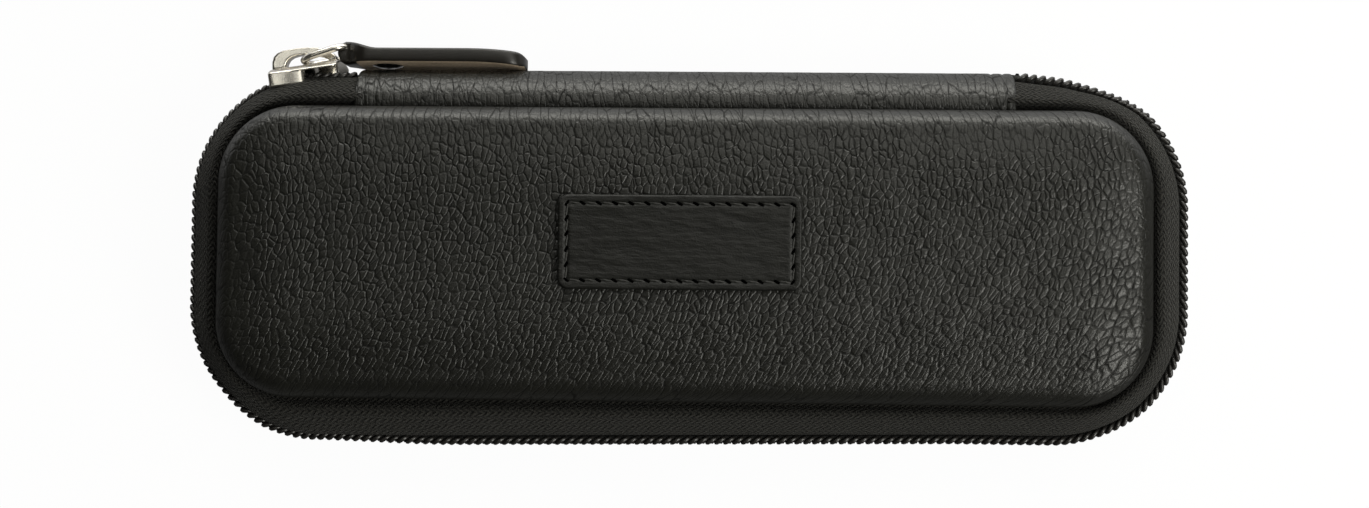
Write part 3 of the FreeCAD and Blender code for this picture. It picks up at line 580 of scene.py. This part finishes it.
def round_the_zip(name, section, material, end_x):
    """A closed section carried round the three sides, each point an inset and a level in millimetres."""
    section = [(inset * MM, MIDDLE + level * MM) for inset, level in section]
    columns = []
    for inset, level in section:
        share = (SEAM_INSET - inset) / (SEAM_INSET - BELT_INSET)
        radius = RIM_R - inset if inset < BELT_INSET else SEAM_R + share * (RIM_R - BELT_INSET - SEAM_R)
        spots = open_sides(RIM_X - inset, RIM_Y - inset, radius, end_x)
        columns.append(np.column_stack((spots, np.full(len(spots), level))))
    grid = np.stack(columns, axis=1)
    piece = skinned(name, material, grid)
    along = np.concatenate(([0], np.cumsum(np.linalg.norm(np.diff(grid.mean(axis=1), axis=0), axis=1))))
    steps = np.diff(np.array(section + section[:1]), axis=0)
    across = np.concatenate(([0], np.cumsum(np.hypot(steps[:, 0], steps[:, 1]))))
    k = len(section)
    uv = piece.data.uv_layers.new(name="lie")
    for face in piece.data.polygons:
        ring = [v % k for v in face.vertices]
        wraps = k - 1 in ring and 0 in ring and len(ring) == 4
        for corner, vertex, j in zip(face.loop_indices, face.vertices, ring):
            uv.data[corner].uv = (along[vertex // k], across[k] if wraps and j == 0 else across[j])
    return piece


def unit(value):
    """A value kept between 0 and 1."""
    return min(max(value, 0), 1)


def slack(x, y):
    """The soft rim's way off its outline: out at the lower left, in at the lower right and past the spine."""
    share = unit((SEAM_INSET - RIM_Y + abs(y)) / (SEAM_INSET - BELT_INSET))
    out = min(max(0.18 * MM - 0.015 * x, -0.5 * MM), 0.85 * MM)
    if y > 0:
        out = -1.3 * MM * unit((x - SPINE_END) / (11 * MM))
    return math.copysign(1, y) * share * out


def zip_tape(name, sign):
    """A tape from under its cover's edge, down a dip, bowed to the coil and back along its inside."""
    face = [(8.5, 8.7), (8.2, 8.3), (7.8, 7.3), (7.4, 6.6), (7.0, 6.5), (6.65, 7.0), (6.3, 7.75),
            (5.8, 8.1), (5.1, 7.9), (4.4, 7.25), (3.6, 6.4), (2.7, 5.4), (2.05, 4.3), (1.75, 3.1),
            (1.7, 2.0), (1.68, 0.9)]
    back = [(2.4, 0.9), (2.5, 2.4), (2.9, 3.4), (3.6, 4.5), (4.5, 5.6), (5.5, 6.0), (6.5, 5.9), (7.2, 5.8),
            (7.8, 6.2), (8.5, 7.7)]
    section = [(inset, sign * level) for inset, level in face + back]
    piece = round_the_zip(name, section, tape_weave, SPINE_END - UNDER_SPINE)
    for vertex in piece.data.vertices:
        vertex.co.y += slack(vertex.co.x, vertex.co.y)
    return piece


tape_weave = look("black_herringbone_tape", woven_tape)
rear_tape = zip_tape("rear_tape", -1)
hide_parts("rear_zip_tape")
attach(rear_tape, "rear_half")
front_tape = zip_tape("front_tape", 1)
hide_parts("front_zip_tape", "zip_end_tape_left", "zip_end_tape_right")
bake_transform(front_tape)


# Zip coils: black nylon monofilament wound flat round a filler cord and sewn along each tape's edge.
# The loops are 1.5 mm apart. The heads of one row lie between those of the other, except before the slider.
COIL_STEP, WIRE = 1.5 * MM, 0.8 * MM
ZIP_LENGTH = 2 * (RIM_X - RIM_R - SPINE_END) + 4 * (RIM_Y - RIM_R) + 2 * (RIM_X - RIM_R) + 2 * math.pi * RIM_R
SPIN = math.radians(8.75)  # how far round the first corner the slider stands
SLIDER_PLACE = RIM_X - RIM_R - SPINE_END + SPIN * RIM_R
MOUTH = SLIDER_PLACE - 1.8 * MM
PARTED = 0.8 * MM


def nylon_wire(tree, place):
    """Drawn nylon monofilament, dyed black: smooth, with a soft shine that differs from loop to loop."""
    drawn = noise(tree, place, 1 / (0.9 * MM), 1.0)
    return {
        "Base Color": tinted(tree, drawn, "#141312", "#2a2826"),
        "Roughness": ranged(tree, drawn, 0.3, 0.42), "IOR": 1.53}


def zip_station(place):
    """A point on the zip line, that far from the spine's left end, and the line's direction there."""
    arc = math.pi / 2 * RIM_R
    legs, centres = legs_of(RIM_X, RIM_Y, RIM_R, SPINE_END)
    for i, (start, end) in enumerate(legs):
        length = math.dist(start, end)
        angle = math.radians(180 + 90 * i)
        if place <= length or i == len(centres):
            return start[0] + place * math.cos(angle), start[1] + place * math.sin(angle), angle
        place -= length
        if place <= arc:
            angle += place / RIM_R
            return centres[i][0] + RIM_R * math.sin(angle), centres[i][1] - RIM_R * math.cos(angle), angle
        place -= arc


def tucked(x, y):
    """A point near the zip line, moved with the soft rim, and drawn in where the left end sits deeper."""
    mid_x = min(max(x, RIM_R - RIM_X), RIM_X - RIM_R)
    mid_y = min(max(y, RIM_R - RIM_Y), RIM_Y - RIM_R)
    depth = 0.65 * MM * unit((-x - 40 * MM) / (20 * MM))
    if y > 0 and x < 0:
        depth += 0.2 * MM * unit((x + 66 * MM) / (5 * MM))
    reach = math.hypot(x - mid_x, y - mid_y)
    return x - depth * (x - mid_x) / reach, y - depth * (y - mid_y) / reach + slack(x, y)


coil_tree, given, result = new_tree("row_of_coil_loops", Wire="Float", Loop="Object")
shape = add(coil_tree, "GeometryNodeObjectInfo", {"Object": given["Loop"]})["Geometry"]
path = add(coil_tree, "GeometryNodeMeshToCurve", {"Mesh": shape})[0]
set_copies(coil_tree, swept(coil_tree, path, given["Wire"], 6, False), given, result)

nylon = look("black_nylon_monofilament", nylon_wire)
LOOP_TURN = [
    (0.75, -0.42, 2.0), (0.62, -0.46, 2.32), (0.3, -0.62, 2.52), (0.0, -0.82, 2.58), (-0.3, -1.02, 2.52),
    (-0.62, -1.18, 2.32), (-0.75, -1.22, 2.0), (-0.75, -1.22, 0.35), (-0.75, -1.1, 0.0),
    (-0.75, -0.82, -0.14), (-0.75, -0.54, 0.0), (-0.75, -0.42, 0.35), (-0.75, -0.42, 2.0)]
coils = {}
for half, sign, shift in (("rear", -1, 0.0), ("front", 1, COIL_STEP / 2)):
    bend = [(x * MM, y * MM, sign * z * MM) for x, y, z in LOOP_TURN]
    loop_path = bpy.data.meshes.new(half + "_loop_path")
    loop_path.from_pydata(bend, [(i, i + 1) for i in range(len(bend) - 1)], [])
    loop_shape = bpy.data.objects.new(half + "_loop_shape", loop_path)
    spots, courses = [], []
    place = shift + COIL_STEP / 2
    while place < ZIP_LENGTH - COIL_STEP / 2:
        x, y, heading = zip_station(place)
        spots.append((*tucked(x, y), MIDDLE + (sign * PARTED if place < MOUTH else 0.0)))
        courses.append(heading - math.pi)
        place += COIL_STEP
    coils[half] = marks(half + "_coil", spots, courses, nylon)
    bake(coils[half], coil_tree, nylon, Wire=WIRE, Loop=loop_shape)
    bpy.data.objects.remove(loop_shape)
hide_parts("rear_zip_coil")
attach(coils["rear"], "rear_half")
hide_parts("front_zip_coil", "zip_end_coil_left", "zip_end_coil_right")
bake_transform(coils["front"])


# Filler cords: a soft black cord inside each coil, which the sewing thread bites on.
# It fills the loops, so no light passes between them.
cord_nylon, tree, skin = new_material("black_filler_cord")
feed(tree, skin, {"Base Color": linear("#0b0b0a"), "Roughness": 0.8})
cords = {}
for half, sign in (("rear", -1), ("front", 1)):
    section = [(0.5, 0.2), (0.42, 1.2), (0.5, 2.1), (0.85, 2.4), (1.4, 2.4), (1.66, 2.2), (1.66, 0.25)]
    section = [(inset, sign * level) for inset, level in section]
    cords[half] = round_the_zip(half + "_cord", section, cord_nylon, SPINE_END)
    for vertex in cords[half].data.vertices:
        vertex.co.x, vertex.co.y = tucked(vertex.co.x, vertex.co.y)
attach(cords["rear"], "rear_half")
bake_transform(cords["front"])


# Spine: a strip of the cover hide from seam to seam along the back, its ends turned in and sewn down.
# It stands in a half round behind the pens and covers both ends of the zip tapes.
SPINE_Y, SPINE_R, SPINE_WALL = 22.95 * MM, 8.7 * MM, 1.2 * MM
LIP_TURN = 3


def spine_crease(x):
    """Two sewn creases and a turned edge near each end of the strip."""
    near = np.abs(x)
    dent = sum(np.exp(-((near - at * MM) / (0.28 * MM)) ** 2) for at in (51.9, 53.8))
    edge = np.clip((near - 54.9 * MM) / (0.6 * MM), 0, 1) ** 2
    return 0.16 * MM * dent + 0.3 * MM * edge


def spine_spot(x, angle, wall):
    """A point of the strip, that far under its grain side, with its creases and its edges tucked in."""
    lip = max(abs(angle) - math.pi / 2, 0) / math.radians(LIP_TURN)
    if lip:
        z = math.copysign(SPINE_R - 0.9 * MM + lip * 1.15 * MM, angle)
        return x, SPINE_Y - (0.25 * MM if wall else 0.0), MIDDLE + z
    tuck = unit((abs(angle) - math.radians(60)) / math.radians(24))
    dent = spine_crease(x) + 0.95 * MM * tuck * tuck
    radius = SPINE_R - (wall + dent * 0.8 if wall else dent)
    return x, SPINE_Y + radius * math.cos(angle), MIDDLE + radius * math.sin(angle)


def half_tube(name, columns, angles, walls, spot, material):
    """A bent strip with an outer and an inner wall, closed along its edges and at its ends."""
    verts = [spot(x, angle, wall) for wall in walls for x in columns for angle in angles]
    faces = []
    rows, n = len(columns), len(angles)
    inner = rows * n
    for i in range(rows - 1):
        for a in range(i * n, i * n + n - 1):
            b = inner + a
            faces += [(a, a + 1, a + n + 1, a + n), (b, b + n, b + n + 1, b + 1)]
        for a in (i * n, i * n + n - 1):
            faces.append((a, a + n, inner + a + n, inner + a))
    for i in (0, rows - 1):
        for a in range(i * n, i * n + n - 1):
            faces.append((a, a + 1, inner + a + 1, inner + a))
    piece = new_piece(name, verts, faces, material)
    face_outwards(piece)
    return piece


columns = [np.linspace(-55.5, -50, 32), np.linspace(-49.7, 49.7, 286), np.linspace(50, 55.5, 32)]
angles = np.radians(np.concatenate(([-93, -91.5], np.linspace(-90, 90, 73), [91.5, 93])))
spine = half_tube("spine_strip", np.concatenate(columns) * MM, angles, (0.0, SPINE_WALL), spine_spot, hide)
lie = [(v.co.x, math.atan2(v.co.z - MIDDLE, v.co.y - SPINE_Y) * SPINE_R) for v in spine.data.vertices]
lay_grain(spine, np.array(lie) * (1.0, 0.7) + (9 * MM, 3 * MM), 0.65)
bake(spine, grain_tree, hide, Depth=GRAIN_DEPTH)
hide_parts("spine_leather")
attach(spine, "rear_half")


# Spine lining: a strip of the same twill as the linings, glued inside the spine.
# It shows only when the lid is folded back.
def lining_spot(x, angle, radius):
    """A point of the lining, that far from the spine's axis."""
    return x, SPINE_Y + radius * math.cos(angle), MIDDLE + radius * math.sin(angle)


columns = np.linspace(-55.4, 55.4, 40) * MM
angles = np.radians(np.linspace(-89, 89, 25))
spine_cloth = half_tube("spine_lining_cloth", columns, angles, (7.4 * MM, 6.7 * MM), lining_spot, twill)
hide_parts("spine_lining")
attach(spine_cloth, "rear_half")


# Pen loops: two bands of black woven elastic, sewn to the rear lining, with three loops each.
# The ribs run along the band, as the rubber threads lie.
LINING_TOP = 5.6 * MM
ELASTIC = 0.75 * MM
BAND_REACH, BAND_WIDTH = 22.4 * MM, 18 * MM
LOOP_STEP, LOOP_HALF, LOOP_TOP, LOOP_BEND = 14.2 * MM, 6.5 * MM, 18.78 * MM, 5.0 * MM


def woven_elastic(tree, place):
    """Woven elastic: ribs 1 mm apart along the band, a fine cross weave and no gloss."""
    sockets = {"Vector": place, "Scale": WAVE_LENGTH / (1.0 * MM), "Distortion": 0.2}
    ribs = add(tree, "ShaderNodeTexWave", sockets, bands_direction="X")["Fac"]
    height = reckon(tree, "MULTIPLY_ADD", noise(tree, place, 1 / (0.4 * MM)), 0.5, ribs)
    return {
        "Base Color": tinted(tree, ribs, "#121214", "#262629"),
        "Normal": bumped(tree, height, 0.12 * MM, 0.7), "Roughness": 0.8}


elastic = look("black_woven_elastic", woven_elastic)
foot = LINING_TOP + ELASTIC / 2
rise = [(LOOP_HALF + 0.25 * MM, foot), (LOOP_HALF, foot + 0.4 * MM), (LOOP_HALF + 0.02 * MM, 10 * MM)]
for k in range(9):
    angle = k / 8 * math.pi / 2
    out = LOOP_HALF - LOOP_BEND + LOOP_BEND * math.cos(angle)
    rise.append((out, LOOP_TOP - LOOP_BEND + LOOP_BEND * math.sin(angle)))
path = [(-BAND_REACH, foot)]
for lane in (-1, 0, 1):
    path += [(lane * LOOP_STEP - out, z) for out, z in rise]
    path += [(lane * LOOP_STEP + out, z) for out, z in reversed(rise)]
path = np.array(path + [(BAND_REACH, foot)])
ahead = np.gradient(path, axis=0)
ahead /= np.linalg.norm(ahead, axis=1)[:, None]
side = np.column_stack((-ahead[:, 1], ahead[:, 0]))
edge = [(-9.0, 0.0), (-8.9, 0.32), (-8.6, 0.375), (-4.5, 0.375), (0, 0.375), (4.5, 0.375), (8.6, 0.375),
        (8.9, 0.32), (9.0, 0.0)]
edge += [(x, -t) for x, t in edge[-2:0:-1]]
for name, centre in (("pen_loops_left", -40 * MM), ("pen_loops_right", 40 * MM)):
    rings = []
    for (y, z), (out_y, out_z) in zip(path, side):
        rings.append([(centre + x * MM, y + out_y * t * MM, z + out_z * t * MM) for x, t in edge])
    band = skinned(name + "_band", elastic, rings)
    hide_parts(name)
    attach(band, "rear_half")


# Slider: a zinc casting, barrel-finished and plated with satin nickel, that closes the coil as it runs.
# It has a domed outer plate, two flanges over the coil's edges, a wedge between the rows and an inner plate.
SLIDER = (-62.0 - 23.0 * math.sin(SPIN), 8.75 + 23.0 * math.cos(SPIN))  # on the zip line, in millimetres
PLATE_SIDES = 40


def satin_nickel(tree, place):
    """Satin nickel plate: a warm white metal whose fine barrel marks blur what it reflects."""
    stretch = (1 / (2.5 * MM), 1 / (0.15 * MM), 1 / (0.15 * MM))
    scuffs = noise(tree, add(tree, "ShaderNodeMapping", {"Vector": place, "Scale": stretch})[0], 1.0, 3.0)
    cloud = noise(tree, place, 1 / (2.2 * MM))
    return {
        "Base Color": tinted(tree, cloud, "#d9d4ca", "#e0dcd4"), "Metallic": 1.0,
        "Roughness": ranged(tree, cloud, 0.22, 0.3), "Normal": bumped(tree, scuffs, 0.02 * MM, 0.25)}


def on_slider(x, y, z):
    """A point given along the slider, out from the zip line and across it, in millimetres."""
    return ((SLIDER[0] + x * math.cos(SPIN) - y * math.sin(SPIN)) * MM,
            (SLIDER[1] + x * math.sin(SPIN) + y * math.cos(SPIN)) * MM, MIDDLE + z * MM)


def rounded(value, power):
    """A sine or cosine bent towards a square's, with its sign kept."""
    return math.copysign(abs(value) ** power, value)


def box_rings(x_from, x_to, y_from, y_to, half):
    """A bar along the slider with eased edges."""
    ease = 0.15
    square = [(y_from + ease, -half), (y_to - ease, -half), (y_to, -half + ease), (y_to, half - ease),
              (y_to - ease, half), (y_from + ease, half), (y_from, half - ease), (y_from, -half + ease)]
    middle = (y_from + y_to) / 2
    rings = []
    for x, small in ((x_from, ease), (x_from + ease, 0), (x_to - ease, 0), (x_to, ease)):
        fit = 1 - small / max(half, 0.4)
        rings.append([on_slider(x, middle + (y - middle) * fit, z * fit) for y, z in square])
    return rings


def flange_rings(side):
    """A flange over the coil's edge, drawn in towards the open end and rounded off at both ends."""
    wing = [(-0.3, -0.3), (-0.42, -0.08), (-0.6, 0.0), (-0.7, 0.0), (-2.55, 0.0), (-2.65, 0.0), (-2.8, -0.04),
            (-2.88, -0.13), (-2.86, -0.24), (-2.6, -0.32), (-1.5, -0.5), (-0.6, -0.7), (-0.3, -0.8)]
    rings = []
    for x in (-5.42, -5.36, -5.2, -4.9, -4.2, -3.4, -2.6, -1.8, -1.0, -0.4, 0.0, 0.25, 0.42, 0.54, 0.6):
        face = 5.72 - 0.045 * max(x + 3.0, 0) ** 2
        face -= 0.5 * (1 - math.sqrt(max(1 - max(x / 0.6, 0) ** 2, 0))) + 0.3 * (max(-x - 4.9, 0) / 0.52) ** 3
        rings.append([on_slider(x, y, side * (face + z)) for y, z in wing])
    return rings


nickel = look("satin_nickel_plate", satin_nickel)
plate = []
for x in (-5.5, -5.45, -5.3, -5.0, -4.5, -3.5, -2, 0, 2, 4, 5.5, 6.0, 6.3, 6.45, 6.5):
    from_end = max(abs(x - 0.5) - 5.0, 0)
    half = 4.6 + math.sqrt(max(1.0 - from_end ** 2, 0))
    thick = 0.28 * (1 - 0.7 * from_end ** 6)
    ring = []
    for angle in 2 * math.pi * (np.arange(PLATE_SIDES) + 0.5) / PLATE_SIDES:
        z = half * rounded(math.cos(angle), 0.5)
        y = 0.57 - 1.2 * abs(z / 5.6) ** 2.2 + thick * rounded(math.sin(angle), 0.4)
        ring.append(on_slider(x, y, z))
    plate.append(ring)
wedge = box_rings(2.3, 5.6, -4.6, 0.4, 0.85)
inner_plate = box_rings(-6.0, 6.0, -5.4, -4.3, 3.0)
casting = skinned("slider_casting", nickel, plate, flange_rings(1), flange_rings(-1), wedge, inner_plate)
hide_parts("slider_body")
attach(casting, "slider")


# Bridge: a cast bow on the slider's outer plate, thick at its closed foot and thin towards the open end.
# Its sides are flat and its edges eased by the barrel, and it is plated like the slider.
outer = [(-5.5, 0.5), (-5.5, 1.2), (-5.4, 2.1), (-5.05, 2.95), (-4.4, 3.52), (-3.3, 3.85), (-0.9, 3.92),
         (1.0, 3.8), (2.8, 3.5), (4.0, 3.05), (5.0, 2.4), (5.7, 1.6), (6.1, 0.5)]
inner = [(-3.2, 0.5), (-3.15, 1.1), (-2.95, 1.65), (-2.5, 2.2), (-1.8, 2.55), (-0.9, 2.68), (-0.2, 2.68),
         (1.2, 2.5), (2.4, 2.2), (3.2, 1.9), (3.9, 1.5), (4.4, 1.1), (4.7, 0.5)]
edge = [(0.0, 1.0), (0.04, 1.16), (0.12, 1.25), (0.18, 1.25), (0.82, 1.25), (0.88, 1.25),
        (0.96, 1.16), (1.0, 1.0)]
edge += [(t, -z) for t, z in reversed(edge)]
rings = []
for (ox, oy), (ix, iy) in zip(outer, inner):
    rings.append([on_slider(ox + t * (ix - ox), oy + t * (iy - oy), z) for t, z in edge])
bow = skinned("cast_bridge", nickel, rings)
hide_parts("slider_bridge")
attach(bow, "slider")


# Link: an oval of round nickel-plated wire, its ends butted, which keeps the tab on the bridge.
# It is a little twisted from use, so both of its long sides show.
NEAR_END, FAR_END = np.array((0.2, 1.55)), np.array((7.858, 2.355))
LINK_LENGTH, LINK_BEND, LINK_FLAT, LINK_WIRE = 7.7, 2.0, 1.28, 1.2
LINK_SIDES = 14
spots = []
for far, side, leaving in ((False, -1, False), (False, 1, True), (True, 1, False), (True, -1, True)):
    for j in range(7):
        angle = math.radians(90) * (6 - j if leaving else j) / 6
        reach = LINK_BEND * (1 - math.sin(angle))
        share = (LINK_LENGTH - reach if far else reach) / LINK_LENGTH
        z = side * (LINK_FLAT + LINK_BEND * math.cos(angle))
        x, y = NEAR_END + share * (FAR_END - NEAR_END)
        twist = z / (LINK_FLAT + LINK_BEND) * (0.1 + 0.55 * share)
        spots.append((x, y + twist - 0.12, z))
spots = np.array(spots)
ahead = np.roll(spots, -1, axis=0) - np.roll(spots, 1, axis=0)
ahead /= np.linalg.norm(ahead, axis=1)[:, None]
rings = []
for spot, way in zip(spots, ahead):
    side = np.cross(way, (0, 1, 0))
    side /= np.linalg.norm(side)
    up = np.cross(side, way)
    ring = []
    for angle in np.arange(LINK_SIDES) / LINK_SIDES * 2 * math.pi:
        ring.append(on_slider(*(spot + LINK_WIRE / 2 * (math.cos(angle) * side + math.sin(angle) * up))))
    rings.append(ring)
link = skinned("wire_link", nickel, rings, closed=True)
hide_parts("pull_link")
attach(link, "pull_link")


# Pull tab: a strip of bridle leather folded round the link and riveted, its cut edges painted black-brown.
# The outer face is black, the inner one raw, and the free end droops on to the spine.
RING = Vector((-58.0907, 35.0051, 14.0)) * MM
TAB_END, TAB_HALF, TAB_CORNER, NECK_HALF = 30.8, 4.5, 3.2, 2.5
TAB_SIDES, TAB_POWER = 28, 2 / 7


def painted_edge(tree, place):
    """Edge paint on leather: built up in coats, smooth and softly glossy, brown-black."""
    coats = noise(tree, place, 1 / (1.5 * MM))
    return {
        "Base Color": tinted(tree, coats, "#12100d", "#1d1a16"),
        "Normal": bumped(tree, coats, 0.1 * MM, 0.25), "Roughness": 0.36}


def raw_flesh(tree, place):
    """The raw flesh side of the strip: brown, fibrous and matt."""
    nap = noise(tree, place, 1 / (0.5 * MM), 4.0)
    return {
        "Base Color": tinted(tree, nap, "#8f7d68", "#c9b69f"),
        "Normal": bumped(tree, nap, 0.12 * MM, 0.7), "Roughness": 0.9}


def tab_at(x):
    """Top, underside and half width of the tab at a distance from the ring, in millimetres."""
    bulb = 2.0 * math.sqrt(max(1 - (max(0.1 - x, 0) / 1.5) ** 2, 0.0))
    ease = unit(x / 5.6)
    ease = ease * ease * (3 - 2 * ease)
    top = (1 - ease) * (bulb - 0.7) + ease * 0.1
    low = (1 - ease) * (-bulb - 0.7) - ease * 2.55
    droop = max((x - 21) / 9.8, 0) ** 2 * 0.75
    tip = max((x - 29.0) / 1.8, 0)
    half = (top - low) / 2 * (1 - 0.5 * tip ** 3)
    middle = (top + low) / 2 - droop
    width = NECK_HALF + (TAB_HALF - NECK_HALF) * unit((x - 0.8) / 2.4) ** 0.7
    round_from = TAB_END - TAB_CORNER
    if x > round_from:
        width = TAB_HALF - TAB_CORNER + math.sqrt(max(TAB_CORNER ** 2 - (x - round_from) ** 2, 0.04))
    return middle + half, middle - half, width


edge_paint = look("black_edge_paint", painted_edge)
flesh = look("raw_brown_flesh_side", raw_flesh)
stations = [-1.4, -1.33, -1.1, -0.7, -0.1, 0.6, 0.9, 1.3, 1.7, 2.1, 2.9, 3.7, 4.5, 5.3, 6.2, 7.2]
stations += [9, 11, 13, 15, 17, 19, 21, 23, 24.5, 26, 27.3, 28.4, 29.2, 29.8, 30.3, 30.6, TAB_END]
rings = []
for x in stations:
    top, low, width = tab_at(x)
    half = max((top - low) / 2, 0.02)
    ring = []
    for k in range(TAB_SIDES):
        angle = 2 * math.pi * (k + 0.5) / TAB_SIDES
        up, out = rounded(math.sin(angle), TAB_POWER), rounded(math.cos(angle), TAB_POWER)
        y = (top + low) / 2 + half * up
        z = width * out * (1.0 if out > 0 else 1.18)
        if up < 0:
            y += 0.7 * unit(x / 5) * unit(-z / width - 0.2) * up
        ring.append((RING.x + x * MM, RING.y + y * MM, RING.z + z * MM))
    rings.append(ring)
tab = skinned("bridle_leather_tab", edge_paint, rings)
tab.data.materials.append(patch_hide)
tab.data.materials.append(flesh)
for face in tab.data.polygons:
    if face.normal.y < -0.8 and face.center.x > RING.x + 2 * MM:
        face.material_index = 2
    elif face.normal.y > 0.8 and abs(face.center.z - RING.z) < 3.9 * MM:
        face.material_index = 1
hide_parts("pull_tab")
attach(tab, "pull_tab")


# Rivet: a steel cap with baked black enamel, set through both layers of the tab.
# Its low dome faces the spine, and it keeps the shape of its solid.
enamel, tree, skin = new_material("gloss_black_enamel")
flow = noise(tree, spot_on(tree), 1 / (1.2 * MM), 1.0)
feed(tree, skin, {"Base Color": linear("#0e0e0e"), "Roughness": ranged(tree, flow, 0.08, 0.2)})
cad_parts["pull_rivet"].data.materials.clear()
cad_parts["pull_rivet"].data.materials.append(enamel)


# Studio: white sweep paper, which reflections show dim in front of the case and white behind it.
# Five softboxes light the case: a wide one behind the spine, a large one above that, one on the right,
# a low one at the lower right and a small one over the left side.
floor_paper, tree, skin = new_material("white_sweep_paper")
ray = add(tree, "ShaderNodeLightPath")
place = spot_on(tree)
paper = tinted(tree, noise(tree, place, 60.0), "#f4f4f3", "#f8f8f7")
feed(tree, skin, {"Base Color": paper, "Roughness": 0.9})
depth = add(tree, "ShaderNodeSeparateXYZ", {0: place})["Y"]
graded = ranged(tree, depth, 0.08, 1.0, start=0.02, end=0.07)
level = add(tree, "ShaderNodeMix", {"Factor": ray["Is Camera Ray"], "A": graded, "B": 1.0})["Result"]
glow = add(tree, "ShaderNodeEmission", {"Color": (1, 1, 1, 1), "Strength": level})[0]
seen = reckon(tree, "MAXIMUM", ray["Is Camera Ray"], ray["Is Glossy Ray"])
seen = reckon(tree, "MAXIMUM", seen, ray["Is Transmission Ray"])
seen = reckon(tree, "MULTIPLY", seen, 0.96)
mixed = add(tree, "ShaderNodeMixShader", {0: seen, 1: skin.outputs[0], 2: glow})[0]
feed(tree, tree.nodes["Material Output"], {"Surface": mixed})
floor = new_piece("floor", [(-3, -3, 0), (3, -3, 0), (3, 3, 0), (-3, 3, 0)], [(0, 1, 2, 3)], floor_paper)

world = bpy.data.worlds.new("studio")
bpy.context.scene.world = world
world.use_nodes = True
tree = world.node_tree
room = tree.nodes["Background"]
feed(tree, room, {"Color": (1, 1, 0.93, 1), "Strength": 0.045})
backdrop = add(tree, "ShaderNodeBackground", {"Color": (1, 1, 1, 1), "Strength": 1.0})[0]
direct = add(tree, "ShaderNodeLightPath")["Is Camera Ray"]
shown = add(tree, "ShaderNodeMixShader", {0: direct, 1: room.outputs[0], 2: backdrop})[0]
feed(tree, tree.nodes["World Output"], {"Surface": shown})


def softbox(name, spot, width, height, power):
    """A warm white area lamp, aimed at the middle of the case."""
    light = bpy.data.lights.new(name, "AREA")
    light.shape = "RECTANGLE"
    light.size, light.size_y, light.energy = width, height, power
    light.color = (1.0, 0.99, 0.92)
    lamp = bpy.data.objects.new(name, light)
    lamp.location = spot
    lamp.rotation_euler = (Vector((0, 0, MIDDLE)) - Vector(spot)).to_track_quat("-Z", "Y").to_euler()
    bpy.context.scene.collection.objects.link(lamp)


softbox("softbox_behind", (0.05, 0.56, 0.12), 0.9, 0.2, 3.8)
softbox("softbox_right", (0.5, -0.18, 0.6), 0.3, 0.3, 3.5)
softbox("softbox_top", (0.2, 0.52, 0.78), 1.0, 0.7, 3.6)
softbox("softbox_corner", (-0.3, 0.15, 0.9), 0.12, 0.1, 0.14)
softbox("softbox_low", (0.42, -0.42, 0.27), 0.2, 0.16, 1.1)

# The camera stands over the case, a little to the right and to the zip side.
# Its focal length is 1970.7 pixels in a picture that is 1369 pixels wide.
FOCAL_PIXELS, PICTURE_PIXELS, SENSOR = 1970.7, 1369, 36.0
camera = bpy.data.objects.new("camera", bpy.data.cameras.new("camera"))
bpy.context.scene.collection.objects.link(camera)
target = Vector((0.2, 0.47, 14.0)) * MM
distance = 336.4 * MM
across, below, roll = math.radians(2.22), math.radians(1.99), math.radians(-0.64)
back = Vector((math.sin(across), -math.sin(below) * math.cos(across), math.cos(below) * math.cos(across)))
right = Vector((math.sin(roll), math.cos(roll), 0)).cross(back).normalized()
up = back.cross(right)
turn = Matrix((right, up, back)).transposed()
camera.matrix_world = Matrix.Translation(target + back * distance) @ turn.to_4x4()
camera.data.sensor_width = SENSOR
camera.data.lens = FOCAL_PIXELS / PICTURE_PIXELS * SENSOR
camera.data.clip_start = 0.01
bpy.context.scene.camera = camera
bpy.context.scene.view_settings.view_transform = "Standard"
